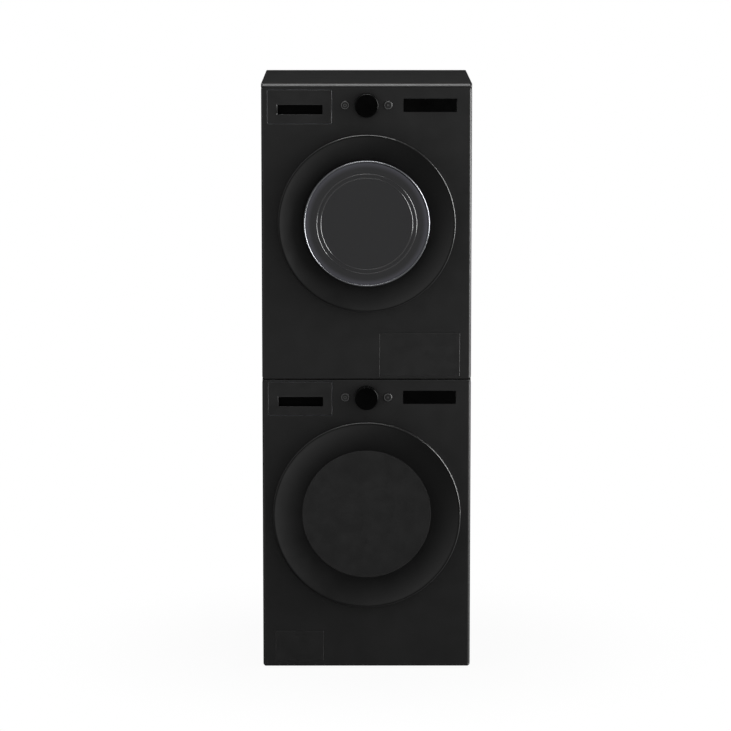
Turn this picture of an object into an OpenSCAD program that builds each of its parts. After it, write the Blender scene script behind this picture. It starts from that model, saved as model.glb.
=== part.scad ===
// Stacked front-loading washer and heat-pump dryer.
// X runs to the right, Y to the back, Z up. The origin is the middle of the footprint, on the floor.

/* [Cabinet] */
// Width of both machines
cabinet_w = 600; // [570:5:690]
// Depth of both cabinets, front sheet to back sheet
cabinet_d = 600; // [560:5:720]
// Height of one machine, feet included
unit_h = 850; // [840:5:1020]
// Thickness of the sheet steel
sheet_t = 1.2; // [1:0.1:2]
// Gap between the floor and the washer's front sheet
floor_gap = 8; // [6:1:15]
// Gap between the two front sheets where the machines meet
seam_gap = 3; // [2:1:6]
// Radius of the front sheets' upright edges
edge_r = 10; // [6:1:14]
// Height of the bevelled front trim on the dryer's top
trim_h = 11; // [8:1:16]

/* [Controls] */
// Distance of the controls' centre line below each front sheet's top edge
control_drop = 51; // [46:1:60]
// Width of a drawer front
drawer_w = 182; // [160:2:200]
// Height of a drawer front
drawer_h = 96; // [88:2:100]
// Distance of the drawer front's edge from the cabinet's side
drawer_inset = 19; // [14:1:30]
// Gap around drawer fronts and flaps
panel_gap = 1.2; // [0.8:0.1:2]
// Diameter of the selector knob
knob_d = 68; // [50:1:74]
// Distance that the knob stands out of the front sheet
knob_out = 24; // [16:1:30]
// Diameter of a push button
button_d = 24; // [16:1:26]
// Distance of each button's centre from the knob's centre
button_pitch = 61.5; // [52:0.5:66]
// Travel of a button
button_travel = 1.5; // [1:0.1:2.5]
// Width of the display window
display_w = 152; // [120:2:160]
// Height of the display window
display_h = 38; // [26:1:44]
// Distance of the display's centre from the cabinet's centre plane
display_x = 181; // [170:1:190]

/* [Doors] */
// Distance of the washer door's centre below the washer's top
washer_door_drop = 388; // [375:1:400]
// Distance of the dryer door's centre below the dryer's top
dryer_door_drop = 396; // [380:1:410]
// Outer radius of the washer's door ring
washer_rim_r = 270.5; // [255:0.5:275]
// Radius of the flat disc in the washer's door
washer_disc_r = 185.5; // [170:0.5:190]
// Outer radius of the dryer's door ring
dryer_rim_r = 253.5; // [245:0.5:265]
// Outer radius of the trim ring round the dryer's door glass
dryer_trim_r = 180; // [168:1:182]
// Distance that a door's rim stands out of the front sheet
door_out = 50; // [46:1:60]
// Wall thickness of the door rings
door_wall = 3; // [2:0.5:4]

/* [Washer inside] */
// Outer radius of the washing drum
washer_drum_r = 240; // [215:1:245]
// Length of the washing drum
washer_drum_len = 340; // [300:5:350]
// Radius of the washing drum's mouth
washer_mouth_r = 165; // [150:1:170]
// Radial gap between the drum and the tub
tub_gap = 17; // [12:1:20]
// Wall thickness of the plastic tub
tub_t = 4; // [3:0.5:5]
// Radius of the drum's shaft
shaft_r = 12.5; // [10:0.5:15]

/* [Dryer inside] */
// Outer radius of the drying drum
dryer_drum_r = 280; // [255:1:285]
// Length of the drying drum
dryer_drum_len = 466; // [380:2:470]
// Radius of a support roller
roller_r = 25; // [18:1:28]
// Radius of the motor pulley
pulley_r = 10; // [8:0.5:14]

/* [Flaps] */
// Width of the pump filter's flap
pump_flap_w = 136; // [110:2:150]
// Height of the pump filter's flap
pump_flap_h = 88; // [76:2:96]
// Width of the heat exchanger's flap
coil_flap_w = 228; // [200:2:236]
// Height of the heat exchanger's flap
coil_flap_h = 125; // [110:1:130]

/* [Connections] */
// Outer radius of the water inlets' threads
inlet_r = 13.2; // [10:0.1:14]
// Distance that the water inlets stand out of the back
rear_out = 18; // [14:1:26]
// Outer radius of the drain spigots
spigot_r = 10; // [8:0.5:12]
// Radius of the hole in a mains cord gland
gland_r = 4.5; // [3:0.5:6]

/* [Hidden] */
$fn = 96;

// Clearances: between parts that turn or slide, and between parts that only lie side by side
run_gap = 0.3;
lay_gap = 0.5;
pin_gap = 0.05;
over = 1; // how far a cutting shape runs past what it cuts

// Colours
black_steel = "#232323";
black_plastic = "#101010";
grey_plastic = "#8d9094";
pale_plastic = "#d9dadb";
stainless = "#b9bbbd";
rubber = "#5a5c5f";
cast_iron = "#a7a39b";
copper = "#b87040";

// Front to back: the ribs on the dryer's door glass, then the cabinet, then the inlets' threads
rib_out = 3.2; // the ribs stand this far in front of the door rims
front_out = door_out + rib_out;
front_y = -(front_out + cabinet_d + rear_out) / 2 + front_out;
back_y = front_y + cabinet_d;
half_w = cabinet_w / 2;

// The front sheets are trays of this depth, and the cabinets start behind them
tray_d = 2 * edge_r + 2;
side_y = front_y + tray_d + run_gap;

// Heights of the front sheets
washer_lo = floor_gap;
washer_hi = unit_h - 1;
dryer_lo = unit_h + seam_gap - 1;
dryer_hi = 2 * unit_h - trim_h - run_gap;
stack_h = 2 * unit_h;

// Centre lines
washer_ctl_z = washer_hi - control_drop;
dryer_ctl_z = dryer_hi - control_drop;
washer_door_z = unit_h - washer_door_drop;
dryer_door_z = stack_h - dryer_door_drop;
drawer_x = -half_w + drawer_inset + drawer_w / 2;
drawer_dz = -4; // a drawer front's centre lies this far from the controls' centre line

// Feet
foot_h = 12;
foot_r = 20;
foot_x = half_w - 45;
foot_front_y = front_y + 75;
foot_back_y = back_y - 60;
dryer_foot_h = 10;

// Door rings, measured from the front sheet: negative is in front of it
ring_back = -4;
ring_foot_inset = 18.5; // the ring's foot is this much smaller than its rim, which leaves a finger gap
hinge_y = -32;
hinge_inset = 22.5; // the hinge pin is this far inside the rim
hinge_dz = 50; // each hinge arm is this far above or below the door's centre
hinge_arm_t = 5;
hinge_pin_r = 3;
hinge_leg = [12, 19]; // the arm's upright leg runs between these distances from the pin
washer_opening_r = 195;
dryer_opening_r = 190;

// Washing drum and tub, measured from the front sheet
washer_drum_y = 80;
washer_tub_r = washer_drum_r + tub_gap;
tub_front_y = 62;
tub_back_y = washer_drum_y + washer_drum_len + 22;
drum_t = 1.5;
float_travel = 8; // the tub floats this far up and down on its springs
bearing_r = 26;
bearing_w = 15;
rotor_r = 140;

// Drying drum, measured from the front sheet
dryer_drum_y = 48;
drum_pin_r = 12;
drum_bush_y = dryer_drum_y + dryer_drum_len + 30;
pulley_x = 150;
pulley_z = unit_h + 78;
belt_t = 2;
belt_w = 10;
belt_y = 330;
motor_y = [350, 450];
roller_angle = 40;

// ---------- shared shapes ----------

// A box between two corners
module block(lo, hi) {
    translate(lo) cube([hi[0] - lo[0], hi[1] - lo[1], hi[2] - lo[2]]);
}

// Something placed from the front sheet's plane, with its height given
module at_front(x = 0, z = 0) {
    translate([x, front_y, z]) children();
}

// A solid of revolution about an axis that runs front to back; each point is a radius and a depth
module turned(points) {
    rotate([-90, 0, 0]) rotate_extrude() polygon(points);
}

// A round rod that runs front to back between two depths
module rod(r, y0, y1) {
    translate([0, y0, 0]) rotate([-90, 0, 0]) cylinder(r = r, h = y1 - y0);
}

// A tube that runs front to back
module tube(r_out, r_in, y0, y1) {
    difference() {
        rod(r_out, y0, y1);
        rod(r_in, y0 - over, y1 + over);
    }
}

// An upright rod
module post(r, z0, z1) {
    translate([0, 0, z0]) cylinder(r = r, h = z1 - z0);
}

// A slab with its two front upright edges rounded
module rounded_slab(w, d, r, z0, z1) {
    block([-w / 2 + r, 0, z0], [w / 2 - r, d, z1]);
    block([-w / 2, r, z0], [w / 2, d, z1]);
    for (s = [-1, 1]) translate([s * (w / 2 - r), r, 0]) post(r, z0, z1);
}

// A plate that faces front, with rounded corners
module plate(w, h, r, y0, y1) {
    block([-w / 2 + r, y0, -h / 2], [w / 2 - r, y1, h / 2]);
    block([-w / 2, y0, -h / 2 + r], [w / 2, y1, h / 2 - r]);
    for (sx = [-1, 1], sz = [-1, 1])
        translate([sx * (w / 2 - r), 0, sz * (h / 2 - r)]) rod(r, y0, y1);
}

// A box open on one side: the front when open_front is true, or else the top
module bin(lo, hi, t, open_front) {
    difference() {
        block(lo, hi);
        block([lo[0] + t, lo[1] + (open_front ? -over : t), lo[2] + t],
              [hi[0] - t, hi[1] - t, hi[2] + (open_front ? -t : over)]);
    }
}

// ---------- cabinets ----------

// Two side sheets with turned-in front edges, and a back sheet between them with a service opening
module cabinet(z0, z1) {
    hole_w = cover_w - 24;
    hole_z = [z0 + 150, z1 - 190];
    for (s = [0, 1]) mirror([s, 0, 0]) {
        block([half_w - sheet_t, side_y, z0], [half_w, back_y, z1]);
        block([half_w - side_fold, side_y, z0], [half_w - sheet_t, side_y + sheet_t, z1]);
    }
    difference() {
        block([-inner_w, back_y - sheet_t, z0], [inner_w, back_y, z1]);
        block([-hole_w / 2, back_y - sheet_t - over, hole_z[0]], [hole_w / 2, back_y + over, hole_z[1]]);
        children();
    }
}

side_fold = 14;
inner_w = half_w - sheet_t - run_gap; // half the width of what fits between the side sheets

// A folded bar from side to side
module cross_bar(y0, y1, z0, z1) {
    block([-inner_w, y0, z0], [inner_w, y1, z1]);
}

module washer_cabinet() color(black_steel) {
    cabinet(floor_gap, unit_h - trim_h - lay_gap) {
        for (s = [-1, 1]) translate([inlet_x(s), 0, inlet_z]) rod(inlet_r + 2, back_y - 5, back_y + over);
        translate([drain_x, 0, washer_drain_z]) rod(spigot_r + 1, back_y - 5, back_y + over);
        translate([gland_x, 0, washer_gland_z]) rod(gland_body_r + 0.2, back_y - 5, back_y + over);
        transit_holes();
    }
    // the tub's springs hang from this bar
    spring_bar_z = washer_door_z + spring_top + spring_wire_r + 0.2;
    cross_bar(front_y + spring_y - 16, front_y + spring_y + 16, spring_bar_z, spring_bar_z + 3);
}

module dryer_cabinet() color(black_steel) {
    cabinet(unit_h + seam_gap, stack_h - trim_h - lay_gap) {
        translate([drain_x, 0, dryer_drain_z]) rod(spigot_r + 1, back_y - 5, back_y + over);
        translate([gland_x, 0, dryer_gland_z]) rod(gland_body_r + 0.2, back_y - 5, back_y + over);
    }
    // the drum's shaft runs in a bush on this bar
    difference() {
        union() {
            at_front(0, 0) cross_bar(drum_bush_y, drum_bush_y + 3, dryer_door_z - 45, dryer_door_z + 45);
            at_front(0, dryer_door_z) rod(22, drum_bush_y - 6, drum_bush_y + 12);
        }
        at_front(0, dryer_door_z) rod(drum_pin_r + pin_gap, drum_bush_y - 8, drum_bush_y + 14);
    }
}

cover_w = 324; // width of the service covers on the backs
transit_x = 185;
transit_z = 130;

// Four holes in the washer's back for the bars that lock its tub in transit
module transit_holes() {
    for (sx = [-1, 1], sz = [-1, 1])
        translate([sx * transit_x, 0, washer_door_z + sz * transit_z]) rod(7, back_y - 5, back_y + over);
}

inlet_z = unit_h - 62;
function inlet_x(s) = 205 + s * 32;
drain_x = -225;
washer_drain_z = unit_h - 75;
dryer_drain_z = unit_h + 75;
gland_x = 120;
gland_body_r = 10.8;
washer_gland_z = unit_h - 62;
dryer_gland_z = unit_h + 75;

// A shallow tray, turned upside down, whose rim stands on the cabinet's sides
module washer_top_panel() color(black_steel) {
    difference() {
        block([-half_w, side_y, unit_h - trim_h], [half_w, back_y, unit_h]);
        block([-half_w + 2, side_y + 2, unit_h - trim_h - over], [half_w - 2, back_y - 2, unit_h - sheet_t]);
    }
}

// The dryer's top comes right to the front, where its edge is bevelled
module dryer_top_panel() color(black_steel) {
    z = stack_h - trim_h;
    difference() {
        translate([-half_w, 0, 0]) rotate([90, 0, 90]) linear_extrude(cabinet_w)
            polygon([[front_y, z], [back_y, z], [back_y, stack_h], [front_y + trim_h, stack_h],
                     [front_y, z + 2]]);
        block([-half_w + 2, front_y + trim_h + 3, z - over], [half_w - 2, back_y - 2, stack_h - sheet_t]);
    }
}

// A front sheet folded back at all four sides, with its cut-outs given as children
module front_sheet(z0, z1, opening_r, door_z) {
    difference() {
        translate([0, front_y, 0]) rounded_slab(cabinet_w, tray_d, edge_r, z0, z1);
        translate([0, front_y + sheet_t, 0])
            rounded_slab(cabinet_w - 2 * sheet_t, tray_d, edge_r - sheet_t, z0 + sheet_t, z1 - sheet_t);
        at_front(0, door_z) rod(opening_r, -over, sheet_t + over);
        children();
    }
}

// Holes for the controls on a line at height z
module control_cuts(z) {
    at_front(drawer_x, z + drawer_dz)
        plate(drawer_w + 2 * panel_gap, drawer_h + 2 * panel_gap, 4, -over, sheet_t + over);
    at_front(0, z) rod(9, -over, sheet_t + over);
    for (s = [-1, 1]) at_front(s * button_pitch, z) rod(button_d / 2 + panel_gap / 2, -over, sheet_t + over);
    at_front(display_x, z) plate(display_w, display_h, 2, -over, sheet_t + over);
}

// A hole for the door's latch hook, right of the opening
module latch_cut(x) {
    block([x - 3, -over, -latch_h / 2 - 3], [x + latch_w + 5, sheet_t + over, latch_h / 2 + 3]);
}

// A flap's opening, with a gap all round the flap
module flap_cut(w, h) plate(w + 2 * panel_gap, h + 2 * panel_gap, 5, -over, sheet_t + over);

module washer_front_panel() color(black_steel) {
    front_sheet(washer_lo, washer_hi, washer_opening_r, washer_door_z) {
        control_cuts(washer_ctl_z);
        at_front(0, washer_door_z) latch_cut(washer_latch_x);
        pump_flap_place() flap_cut(pump_flap_w, pump_flap_h);
    }
    pump_flap_place() flap_ears(pump_flap_w, pump_flap_h);
}

module dryer_front_panel() color(black_steel) {
    front_sheet(dryer_lo, dryer_hi, dryer_opening_r, dryer_door_z) {
        control_cuts(dryer_ctl_z);
        at_front(0, dryer_door_z) latch_cut(dryer_latch_x);
        coil_flap_place() flap_cut(coil_flap_w, coil_flap_h);
    }
    coil_flap_place() flap_ears(coil_flap_w, coil_flap_h);
}

// A floor pan with an upright rim and a boss over each foot; children are cut away
base_floor_t = 3;
base_rim_h = 45;
module base_pan(z0) {
    y0 = side_y + sheet_t + run_gap;
    y1 = back_y - sheet_t - run_gap;
    difference() {
        union() {
            bin([-inner_w, y0, z0], [inner_w, y1, z0 + base_rim_h], base_floor_t, false);
            for (s = [-1, 1], y = [foot_front_y, foot_back_y])
                translate([s * foot_x, y, 0]) post(16, z0 + base_floor_t, z0 + 18);
        }
        for (s = [-1, 1], y = [foot_front_y, foot_back_y])
            translate([s * foot_x, y, 0]) post(5 + pin_gap, z0 - over, z0 + 18 + over);
        children();
    }
}

module washer_base() color(black_plastic) base_pan(foot_h)
    at_front(pump_flap_x, foot_h + base_floor_t) block([-34, 0, 0], [34, 40, base_rim_h + over]);
module dryer_base() color(black_plastic) base_pan(unit_h + dryer_foot_h);

// A foot: a rubber pad under a hexagonal collar, on a stud that goes up through the base's boss
module foot(z0, h) {
    translate([0, 0, z0]) {
        cylinder(r = foot_r, h = h - 4);
        translate([0, 0, h - 4]) cylinder(r = 13, h = 4, $fn = 6);
        translate([0, 0, h - 4]) cylinder(r = 5, h = 34);
    }
}

module leveling_feet() color(black_plastic)
    for (s = [-1, 1], y = [foot_front_y, foot_back_y]) translate([s * foot_x, y, 0]) {
        foot(0, foot_h);
        foot(unit_h, dryer_foot_h);
    }

// One service cover on each back, with a dished middle
module rear_covers() color(black_steel)
    for (z = [floor_gap, unit_h + seam_gap])
        let (z0 = z + 138, z1 = z + unit_h - trim_h - lay_gap - floor_gap - 178)
            difference() {
                block([-cover_w / 2, back_y, z0], [cover_w / 2, back_y + 6, z1]);
                block([-cover_w / 2 + 26, back_y + 3, z0 + 26],
                      [cover_w / 2 - 26, back_y + 6 + over, z1 - 26]);
                block([-cover_w / 2 + 24, back_y - over, z0 + 24], [cover_w / 2 - 24, back_y + 1.5, z1 - 24]);
            }

// Two plates that tie the backs together, and two rails that hold the dryer's feet
module stacking_brackets() color(stainless) {
    for (s = [-1, 1]) {
        translate([s * 225, 0, 0])
            block([-25, back_y, unit_h - 40], [25, back_y + 2, unit_h + 45]);
        difference() {
            block([min(s * 230, s * 285), foot_front_y - 35, unit_h],
                  [max(s * 230, s * 285), foot_back_y + 35, unit_h + 2]);
            for (y = [foot_front_y, foot_back_y])
                translate([s * foot_x, y, 0]) post(foot_r + lay_gap, unit_h - over, unit_h + 3);
        }
    }
}

// ---------- controls ----------

// The window fits its cut-out and carries a flange behind the sheet
module display_windows() color("#050505")
    for (z = [washer_ctl_z, dryer_ctl_z]) at_front(display_x, z) {
        plate(display_w - 0.4, display_h - 0.4, 2, -0.4, sheet_t);
        plate(display_w + 12, display_h + 12, 2, sheet_t, sheet_t + window_flange_t);
    }
window_flange_t = 2.5;

// A circuit board in each machine behind the controls, with the knob's encoder and the keys' guides
board_y = 16;
board_t = 1.6;
stem_r = 7;
key_stem_r = 4;
module control_boards() color("#1f5a36")
    for (z = [washer_ctl_z, dryer_ctl_z]) at_front(0, z) {
        block([-button_pitch - 16, board_y, -28], [display_x + 85, board_y + board_t, 26]);
        for (i = [0:3])
            block([display_x - 70 + i * 38, board_y + board_t, -18],
                  [display_x - 52 + i * 38, board_y + 14, 4]);
        for (sx = [-1, 1], sz = [-1, 1])
            translate([display_x + sx * 72, 0, sz * 20]) rod(3, sheet_t + window_flange_t, board_y);
        tube(13, stem_r + pin_gap, sheet_t, board_y);
        for (s = [-1, 1]) translate([s * button_pitch, 0, 0]) tube(8, key_stem_r + run_gap, 8, board_y);
    }

// A dial with a stem that goes through the sheet into its encoder
module knob() {
    turned([[0, -knob_out], [knob_d / 2 - 3, -knob_out], [knob_d / 2 - 1.2, -knob_out + 0.8],
            [knob_d / 2, -knob_out + 3], [knob_d / 2 + 0.4, -0.6], [knob_d / 2 - 3, -0.6],
            [knob_d / 2 - 3, -4], [stem_r, -4], [stem_r, board_y - 2], [0, board_y - 2]]);
}

module washer_knob() color(black_plastic) at_front(0, washer_ctl_z) knob();
module dryer_knob() color(black_plastic) at_front(0, dryer_ctl_z) knob();

// A round key with a flange that stops it behind the sheet
module button() {
    r = button_d / 2;
    turned([[0, -2.2], [r - 1.2, -2.2], [r, -1.4], [r, sheet_t + 0.4], [r + 2.5, sheet_t + 0.4],
            [r + 2.5, sheet_t + 2.4], [key_stem_r, sheet_t + 2.4],
            [key_stem_r, board_y - button_travel - run_gap], [0, board_y - button_travel - run_gap]]);
}

module washer_button_left() color(black_steel) at_front(-button_pitch, washer_ctl_z) button();
module washer_button_right() color(black_steel) at_front(button_pitch, washer_ctl_z) button();
module dryer_button_left() color(black_steel) at_front(-button_pitch, dryer_ctl_z) button();
module dryer_button_right() color(black_steel) at_front(button_pitch, dryer_ctl_z) button();

// ---------- drawers ----------

pocket_w = 130;
pocket_h = 27;
pocket_d = 24;
pocket_dz = 39 - drawer_h / 2; // the finger pocket's centre, 39 above the drawer front's lower edge
pocket_drop = 10; // fingers hook this far down behind the pocket's lower edge
fascia_t = 3;
tank_len = 430;
detergent_len = 290;
bin_t = 2.5; // wall of the trays, the tank and their housings
bin_w = drawer_w - 14;
bin_lo = -drawer_h / 2 + 6;
tray_hi = drawer_h / 2 - 12;
tank_hi = drawer_h / 2 - 14;

// A drawer's front: a flush plate with a finger pocket behind it
module fascia() {
    difference() {
        union() {
            plate(drawer_w, drawer_h, 4, 0, fascia_t);
            block([-pocket_w / 2 - 2, fascia_t, pocket_dz - pocket_h / 2 - pocket_drop - 2],
                  [pocket_w / 2 + 2, pocket_d, pocket_dz + pocket_h / 2 + 2]);
        }
        translate([0, 0, pocket_dz]) plate(pocket_w, pocket_h, 2, -over, fascia_t + over);
        block([-pocket_w / 2, fascia_t, pocket_dz - pocket_h / 2 - pocket_drop],
              [pocket_w / 2, pocket_d - 2, pocket_dz + pocket_h / 2]);
    }
}

module washer_drawer_fascia() color(black_steel) at_front(drawer_x, washer_ctl_z + drawer_dz) fascia();
module dryer_tank_fascia() color(black_steel) at_front(drawer_x, dryer_ctl_z + drawer_dz) fascia();

// Arms that clip a tray to the back of its front
module clip_arms() for (s = [-1, 1])
    block([min(s * 72, s * 78), fascia_t, -20], [max(s * 72, s * 78), pocket_d + 0.2, 20]);

// The detergent tray: two deep cells in front, one across the back, all open on top
module washer_detergent_drawer() color(pale_plastic) at_front(drawer_x, washer_ctl_z + drawer_dz) {
    front_cells = detergent_len - 70;
    wall_x = 13;
    difference() {
        block([-bin_w / 2, pocket_d + 0.2, bin_lo], [bin_w / 2, detergent_len, tray_hi]);
        block([-bin_w / 2 + bin_t, pocket_d + 3, bin_lo + bin_t], [wall_x - 1, front_cells, tray_hi + over]);
        block([wall_x + 1, pocket_d + 3, bin_lo + bin_t], [bin_w / 2 - bin_t, front_cells, tray_hi + over]);
        block([-bin_w / 2 + bin_t, front_cells + bin_t, bin_lo + bin_t],
              [bin_w / 2 - bin_t, detergent_len - bin_t, tray_hi + over]);
    }
    clip_arms();
}

// The condensate tank: a closed box with a pouring mouth on top, near the front
module dryer_water_tank() color(pale_plastic) at_front(drawer_x, dryer_ctl_z + drawer_dz) {
    difference() {
        block([-bin_w / 2, pocket_d + 0.2, bin_lo], [bin_w / 2, tank_len, tank_hi]);
        block([-bin_w / 2 + bin_t, pocket_d + 3, bin_lo + bin_t],
              [bin_w / 2 - bin_t, tank_len - bin_t, tank_hi - bin_t]);
        block([-35, pocket_d + 26, tank_hi - bin_t - over], [35, pocket_d + 54, tank_hi + over]);
    }
    clip_arms();
}

// A fixed box round each drawer: a collar behind the front sheet, then walls that the drawer slides in
module drawer_housing(len, z) {
    side = 0.5; // gap beside the drawer
    mouth_w = drawer_w + 2 * panel_gap + 1;
    mouth_h = drawer_h + 2 * panel_gap + 1;
    collar_y = fascia_t + 3;
    w = bin_w + 2 * side;
    lo = bin_lo - run_gap;
    hi = tray_hi + 2;
    at_front(drawer_x, z + drawer_dz) difference() {
        union() {
            block([-mouth_w / 2 - 2, sheet_t, -mouth_h / 2 - 2],
                  [mouth_w / 2 + 2, collar_y + 2, mouth_h / 2 + 2]);
            block([-w / 2 - bin_t, sheet_t, lo - bin_t], [w / 2 + bin_t, len + 8, hi + bin_t]);
        }
        block([-mouth_w / 2, sheet_t - over, -mouth_h / 2], [mouth_w / 2, collar_y, mouth_h / 2]);
        block([-w / 2, sheet_t - over, lo], [w / 2, len + 8 - bin_t, hi]);
    }
}

module drawer_housings() color(grey_plastic) {
    drawer_housing(detergent_len, washer_ctl_z);
    drawer_housing(tank_len, dryer_ctl_z);
}

// ---------- doors ----------

// Depth of a ring's dished face at radius r, between its inner edge and its crest
function dish(r, r_in, r_out, y_in, y_out) = y_in + (y_out - y_in) * pow((r - r_in) / (r_out - r_in), 1.6);

// A hollow ring: dished face, rounded lip, and a side that slants in towards the cabinet
module door_ring(rim_r, r_in, y_in, ledge_r, ledge_y) {
    foot_r = rim_r - ring_foot_inset;
    crest = rim_r - 4.5;
    steps = 10;
    face = [for (i = [0:steps]) let (r = r_in + (crest - r_in) * i / steps)
        [r, dish(r, r_in, crest, y_in, -door_out)]];
    inner = [for (i = [steps:-1:0]) let (r = r_in + door_wall + (crest - 6 - r_in - door_wall) * i / steps)
        [r, dish(r, r_in, crest, y_in, -door_out) + door_wall]];
    difference() {
        turned(concat(face,
            [[rim_r - 1.5, -door_out + 0.8], [rim_r, -door_out + 3], [rim_r, -door_out + 7],
             [foot_r, ring_back], [foot_r - 3.5, ring_back], [rim_r - 4.5, -door_out + 9]],
            inner,
            [[r_in + door_wall, -8], [ledge_r, -8], [ledge_r, ledge_y], [r_in, ledge_y]]));
        hinge_slots(rim_r, hinge_y - 5);
    }
}

// Slots that let the fixed hinge arms swing out of a door
module hinge_slots(rim_r, y0) {
    x0 = -(rim_r - hinge_inset) + hinge_leg[1] + 1;
    for (s = [-1, 1])
        block([-rim_r - over, y0, s * hinge_dz - hinge_arm_t / 2 - 1],
              [x0, over, s * hinge_dz + hinge_arm_t / 2 + 1]);
}

// Ears on a door that carry the two hinge pins
module door_hinge(rim_r) {
    x = -(rim_r - hinge_inset);
    for (s = [-1, 1]) translate([0, 0, s * hinge_dz]) {
        for (e = [-1, 1]) {
            z0 = e * (hinge_arm_t / 2 + 0.3);
            z1 = e * (hinge_arm_t / 2 + 5.5);
            translate([x, hinge_y, 0]) post(6, min(z0, z1), max(z0, z1));
            translate([x, 0, min(z0, z1)]) linear_extrude(abs(z1 - z0))
                polygon([[-3, hinge_y + 2], [-1, hinge_y - 5], [3, hinge_y - 5],
                         [34, -12], [34, -8], [16, -8]]);
        }
        translate([x, hinge_y, 0]) post(hinge_pin_r, -hinge_arm_t / 2 - 5, hinge_arm_t / 2 + 5);
    }
    block([x + 24, -10.5, -hinge_dz - 8], [x + 34, -8, hinge_dz + 8]);
}

// A fixed plate with two bent arms that reach forward into the door
module hinge_bracket(rim_r) {
    x = -(rim_r - hinge_inset);
    difference() {
        union() {
            block([x + 8, -2, -hinge_dz - 15], [x + 32, 0, hinge_dz + 15]);
            for (s = [-1, 1]) translate([x, 0, s * hinge_dz - hinge_arm_t / 2]) {
                translate([0, hinge_y, 0]) cylinder(r = 6, h = hinge_arm_t);
                block([0, hinge_y - 3.5, 0], [hinge_leg[1], hinge_y + 3.5, hinge_arm_t]);
                block([hinge_leg[0], hinge_y, 0], [hinge_leg[1], 0, hinge_arm_t]);
            }
        }
        for (s = [-1, 1]) translate([x, hinge_y, s * hinge_dz]) post(hinge_pin_r + pin_gap, -5, 5);
    }
}

// A lock behind the front sheet, with a slot that takes the door's hook
module door_lock(x, deep) {
    difference() {
        block([x - 7, sheet_t, -30], [x + latch_w + 9, sheet_t + deep, 30]);
        block([x - 3, sheet_t - over, -latch_h / 2 - 3], [x + latch_w + 5, latch_out + 2, latch_h / 2 + 3]);
    }
}

// Hinge brackets on the left of each opening and a lock on its right
module door_fittings() color(stainless) {
    at_front(0, washer_door_z) {
        hinge_bracket(washer_rim_r);
        door_lock(washer_latch_x, 34);
    }
    at_front(0, dryer_door_z) {
        hinge_bracket(dryer_rim_r);
        door_lock(dryer_latch_x, 16);
    }
}

// The latch hooks on the doors' backs
latch_w = 10;
latch_h = 18;
latch_out = 12; // a hook reaches this far behind the front sheet's face
washer_latch_x = washer_opening_r + 16;
dryer_latch_x = dryer_opening_r + 15;
module latch_hook(x) block([x, -4, -latch_h / 2], [x + latch_w, latch_out, latch_h / 2]);

washer_disc_y = -30;
washer_ledge_y = -26;
washer_frame_r = washer_rim_r - ring_foot_inset - 4;
bowl_r = 166;

module washer_door_ring() color(black_plastic) at_front(0, washer_door_z)
    door_ring(washer_rim_r, washer_disc_r + 0.5, washer_disc_y, washer_disc_r - 5, washer_ledge_y);

// The flat disc rests on the ring's ledge, and its edge is chamfered
module washer_door_disc() color("#232323") at_front(0, washer_door_z)
    turned([[0, washer_disc_y], [washer_disc_r - 1, washer_disc_y], [washer_disc_r, washer_disc_y + 1],
            [washer_disc_r, washer_ledge_y], [0, washer_ledge_y]]);

// The glass bowl: a flange clamped behind the disc, a tapering wall and a rounded end
module washer_door_bowl() color("#3a4044") at_front(0, washer_door_z)
    turned([[158, -13], [178, -13], [178, -8], [bowl_r, -8], [bowl_r - 4, 20], [bowl_r - 14, 62],
            [bowl_r - 26, 92], [bowl_r - 44, 106], [bowl_r - 70, 112], [0, 114],
            [0, 109], [bowl_r - 71, 107], [bowl_r - 47, 101], [bowl_r - 31, 88],
            [bowl_r - 19, 60], [bowl_r - 9, 20]]);

// The inner frame: a ring that closes the back of the door, with a collar round the bowl's flange
module washer_door_frame() color(grey_plastic) at_front(0, washer_door_z) {
    difference() {
        union() {
            turned([[bowl_r + 2, -8], [washer_frame_r, -8], [washer_frame_r, -4], [bowl_r + 2, -4]]);
            latch_hook(washer_latch_x);
        }
        hinge_slots(washer_rim_r, -8 - over);
    }
}

module washer_door_hinge() color(stainless) at_front(0, washer_door_z) door_hinge(washer_rim_r);

dryer_valley_r = dryer_trim_r + 2;
dryer_valley_y = -34;
dryer_liner_r = dryer_rim_r - ring_foot_inset - 4;
groove_r = [130.5, 142]; // the two fine ribs on the glass

module dryer_door_ring() color(black_plastic) at_front(0, dryer_door_z)
    door_ring(dryer_rim_r, dryer_valley_r, dryer_valley_y, dryer_trim_r - 6, dryer_valley_y + 4);

// A bright ring that clamps the glass
module dryer_door_trim() color(stainless) at_front(0, dryer_door_z)
    turned([[dryer_trim_r, dryer_valley_y + 4], [dryer_trim_r, -door_out + 2],
            [dryer_trim_r - 1.5, -door_out - 1], [dryer_trim_r - 4, -door_out - 1],
            [dryer_trim_r - 5.5, -door_out + 1],
            [dryer_trim_r - 5.5, dryer_valley_y + 4]]);

// One fine rib on the glass at radius r, as profile points
function rib(r) = [[r - 2, -door_out - 2], [r - 1, -front_out], [r + 1, -front_out], [r + 2, -door_out - 2]];

// The glass: a gently crowned disc with two fine ribs
module dryer_door_glass() color("#303030") at_front(0, dryer_door_z) {
    r = dryer_trim_r - 5.8;
    turned(concat([[0, -door_out - 2]], rib(groove_r[0]), rib(groove_r[1]),
        [[r - 6, -door_out - 0.4], [r, -door_out + 2], [r, dryer_valley_y + 4], [r - 4, dryer_valley_y + 4],
         [r - 4, -door_out + 4], [0, -door_out + 2]]));
}

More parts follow.
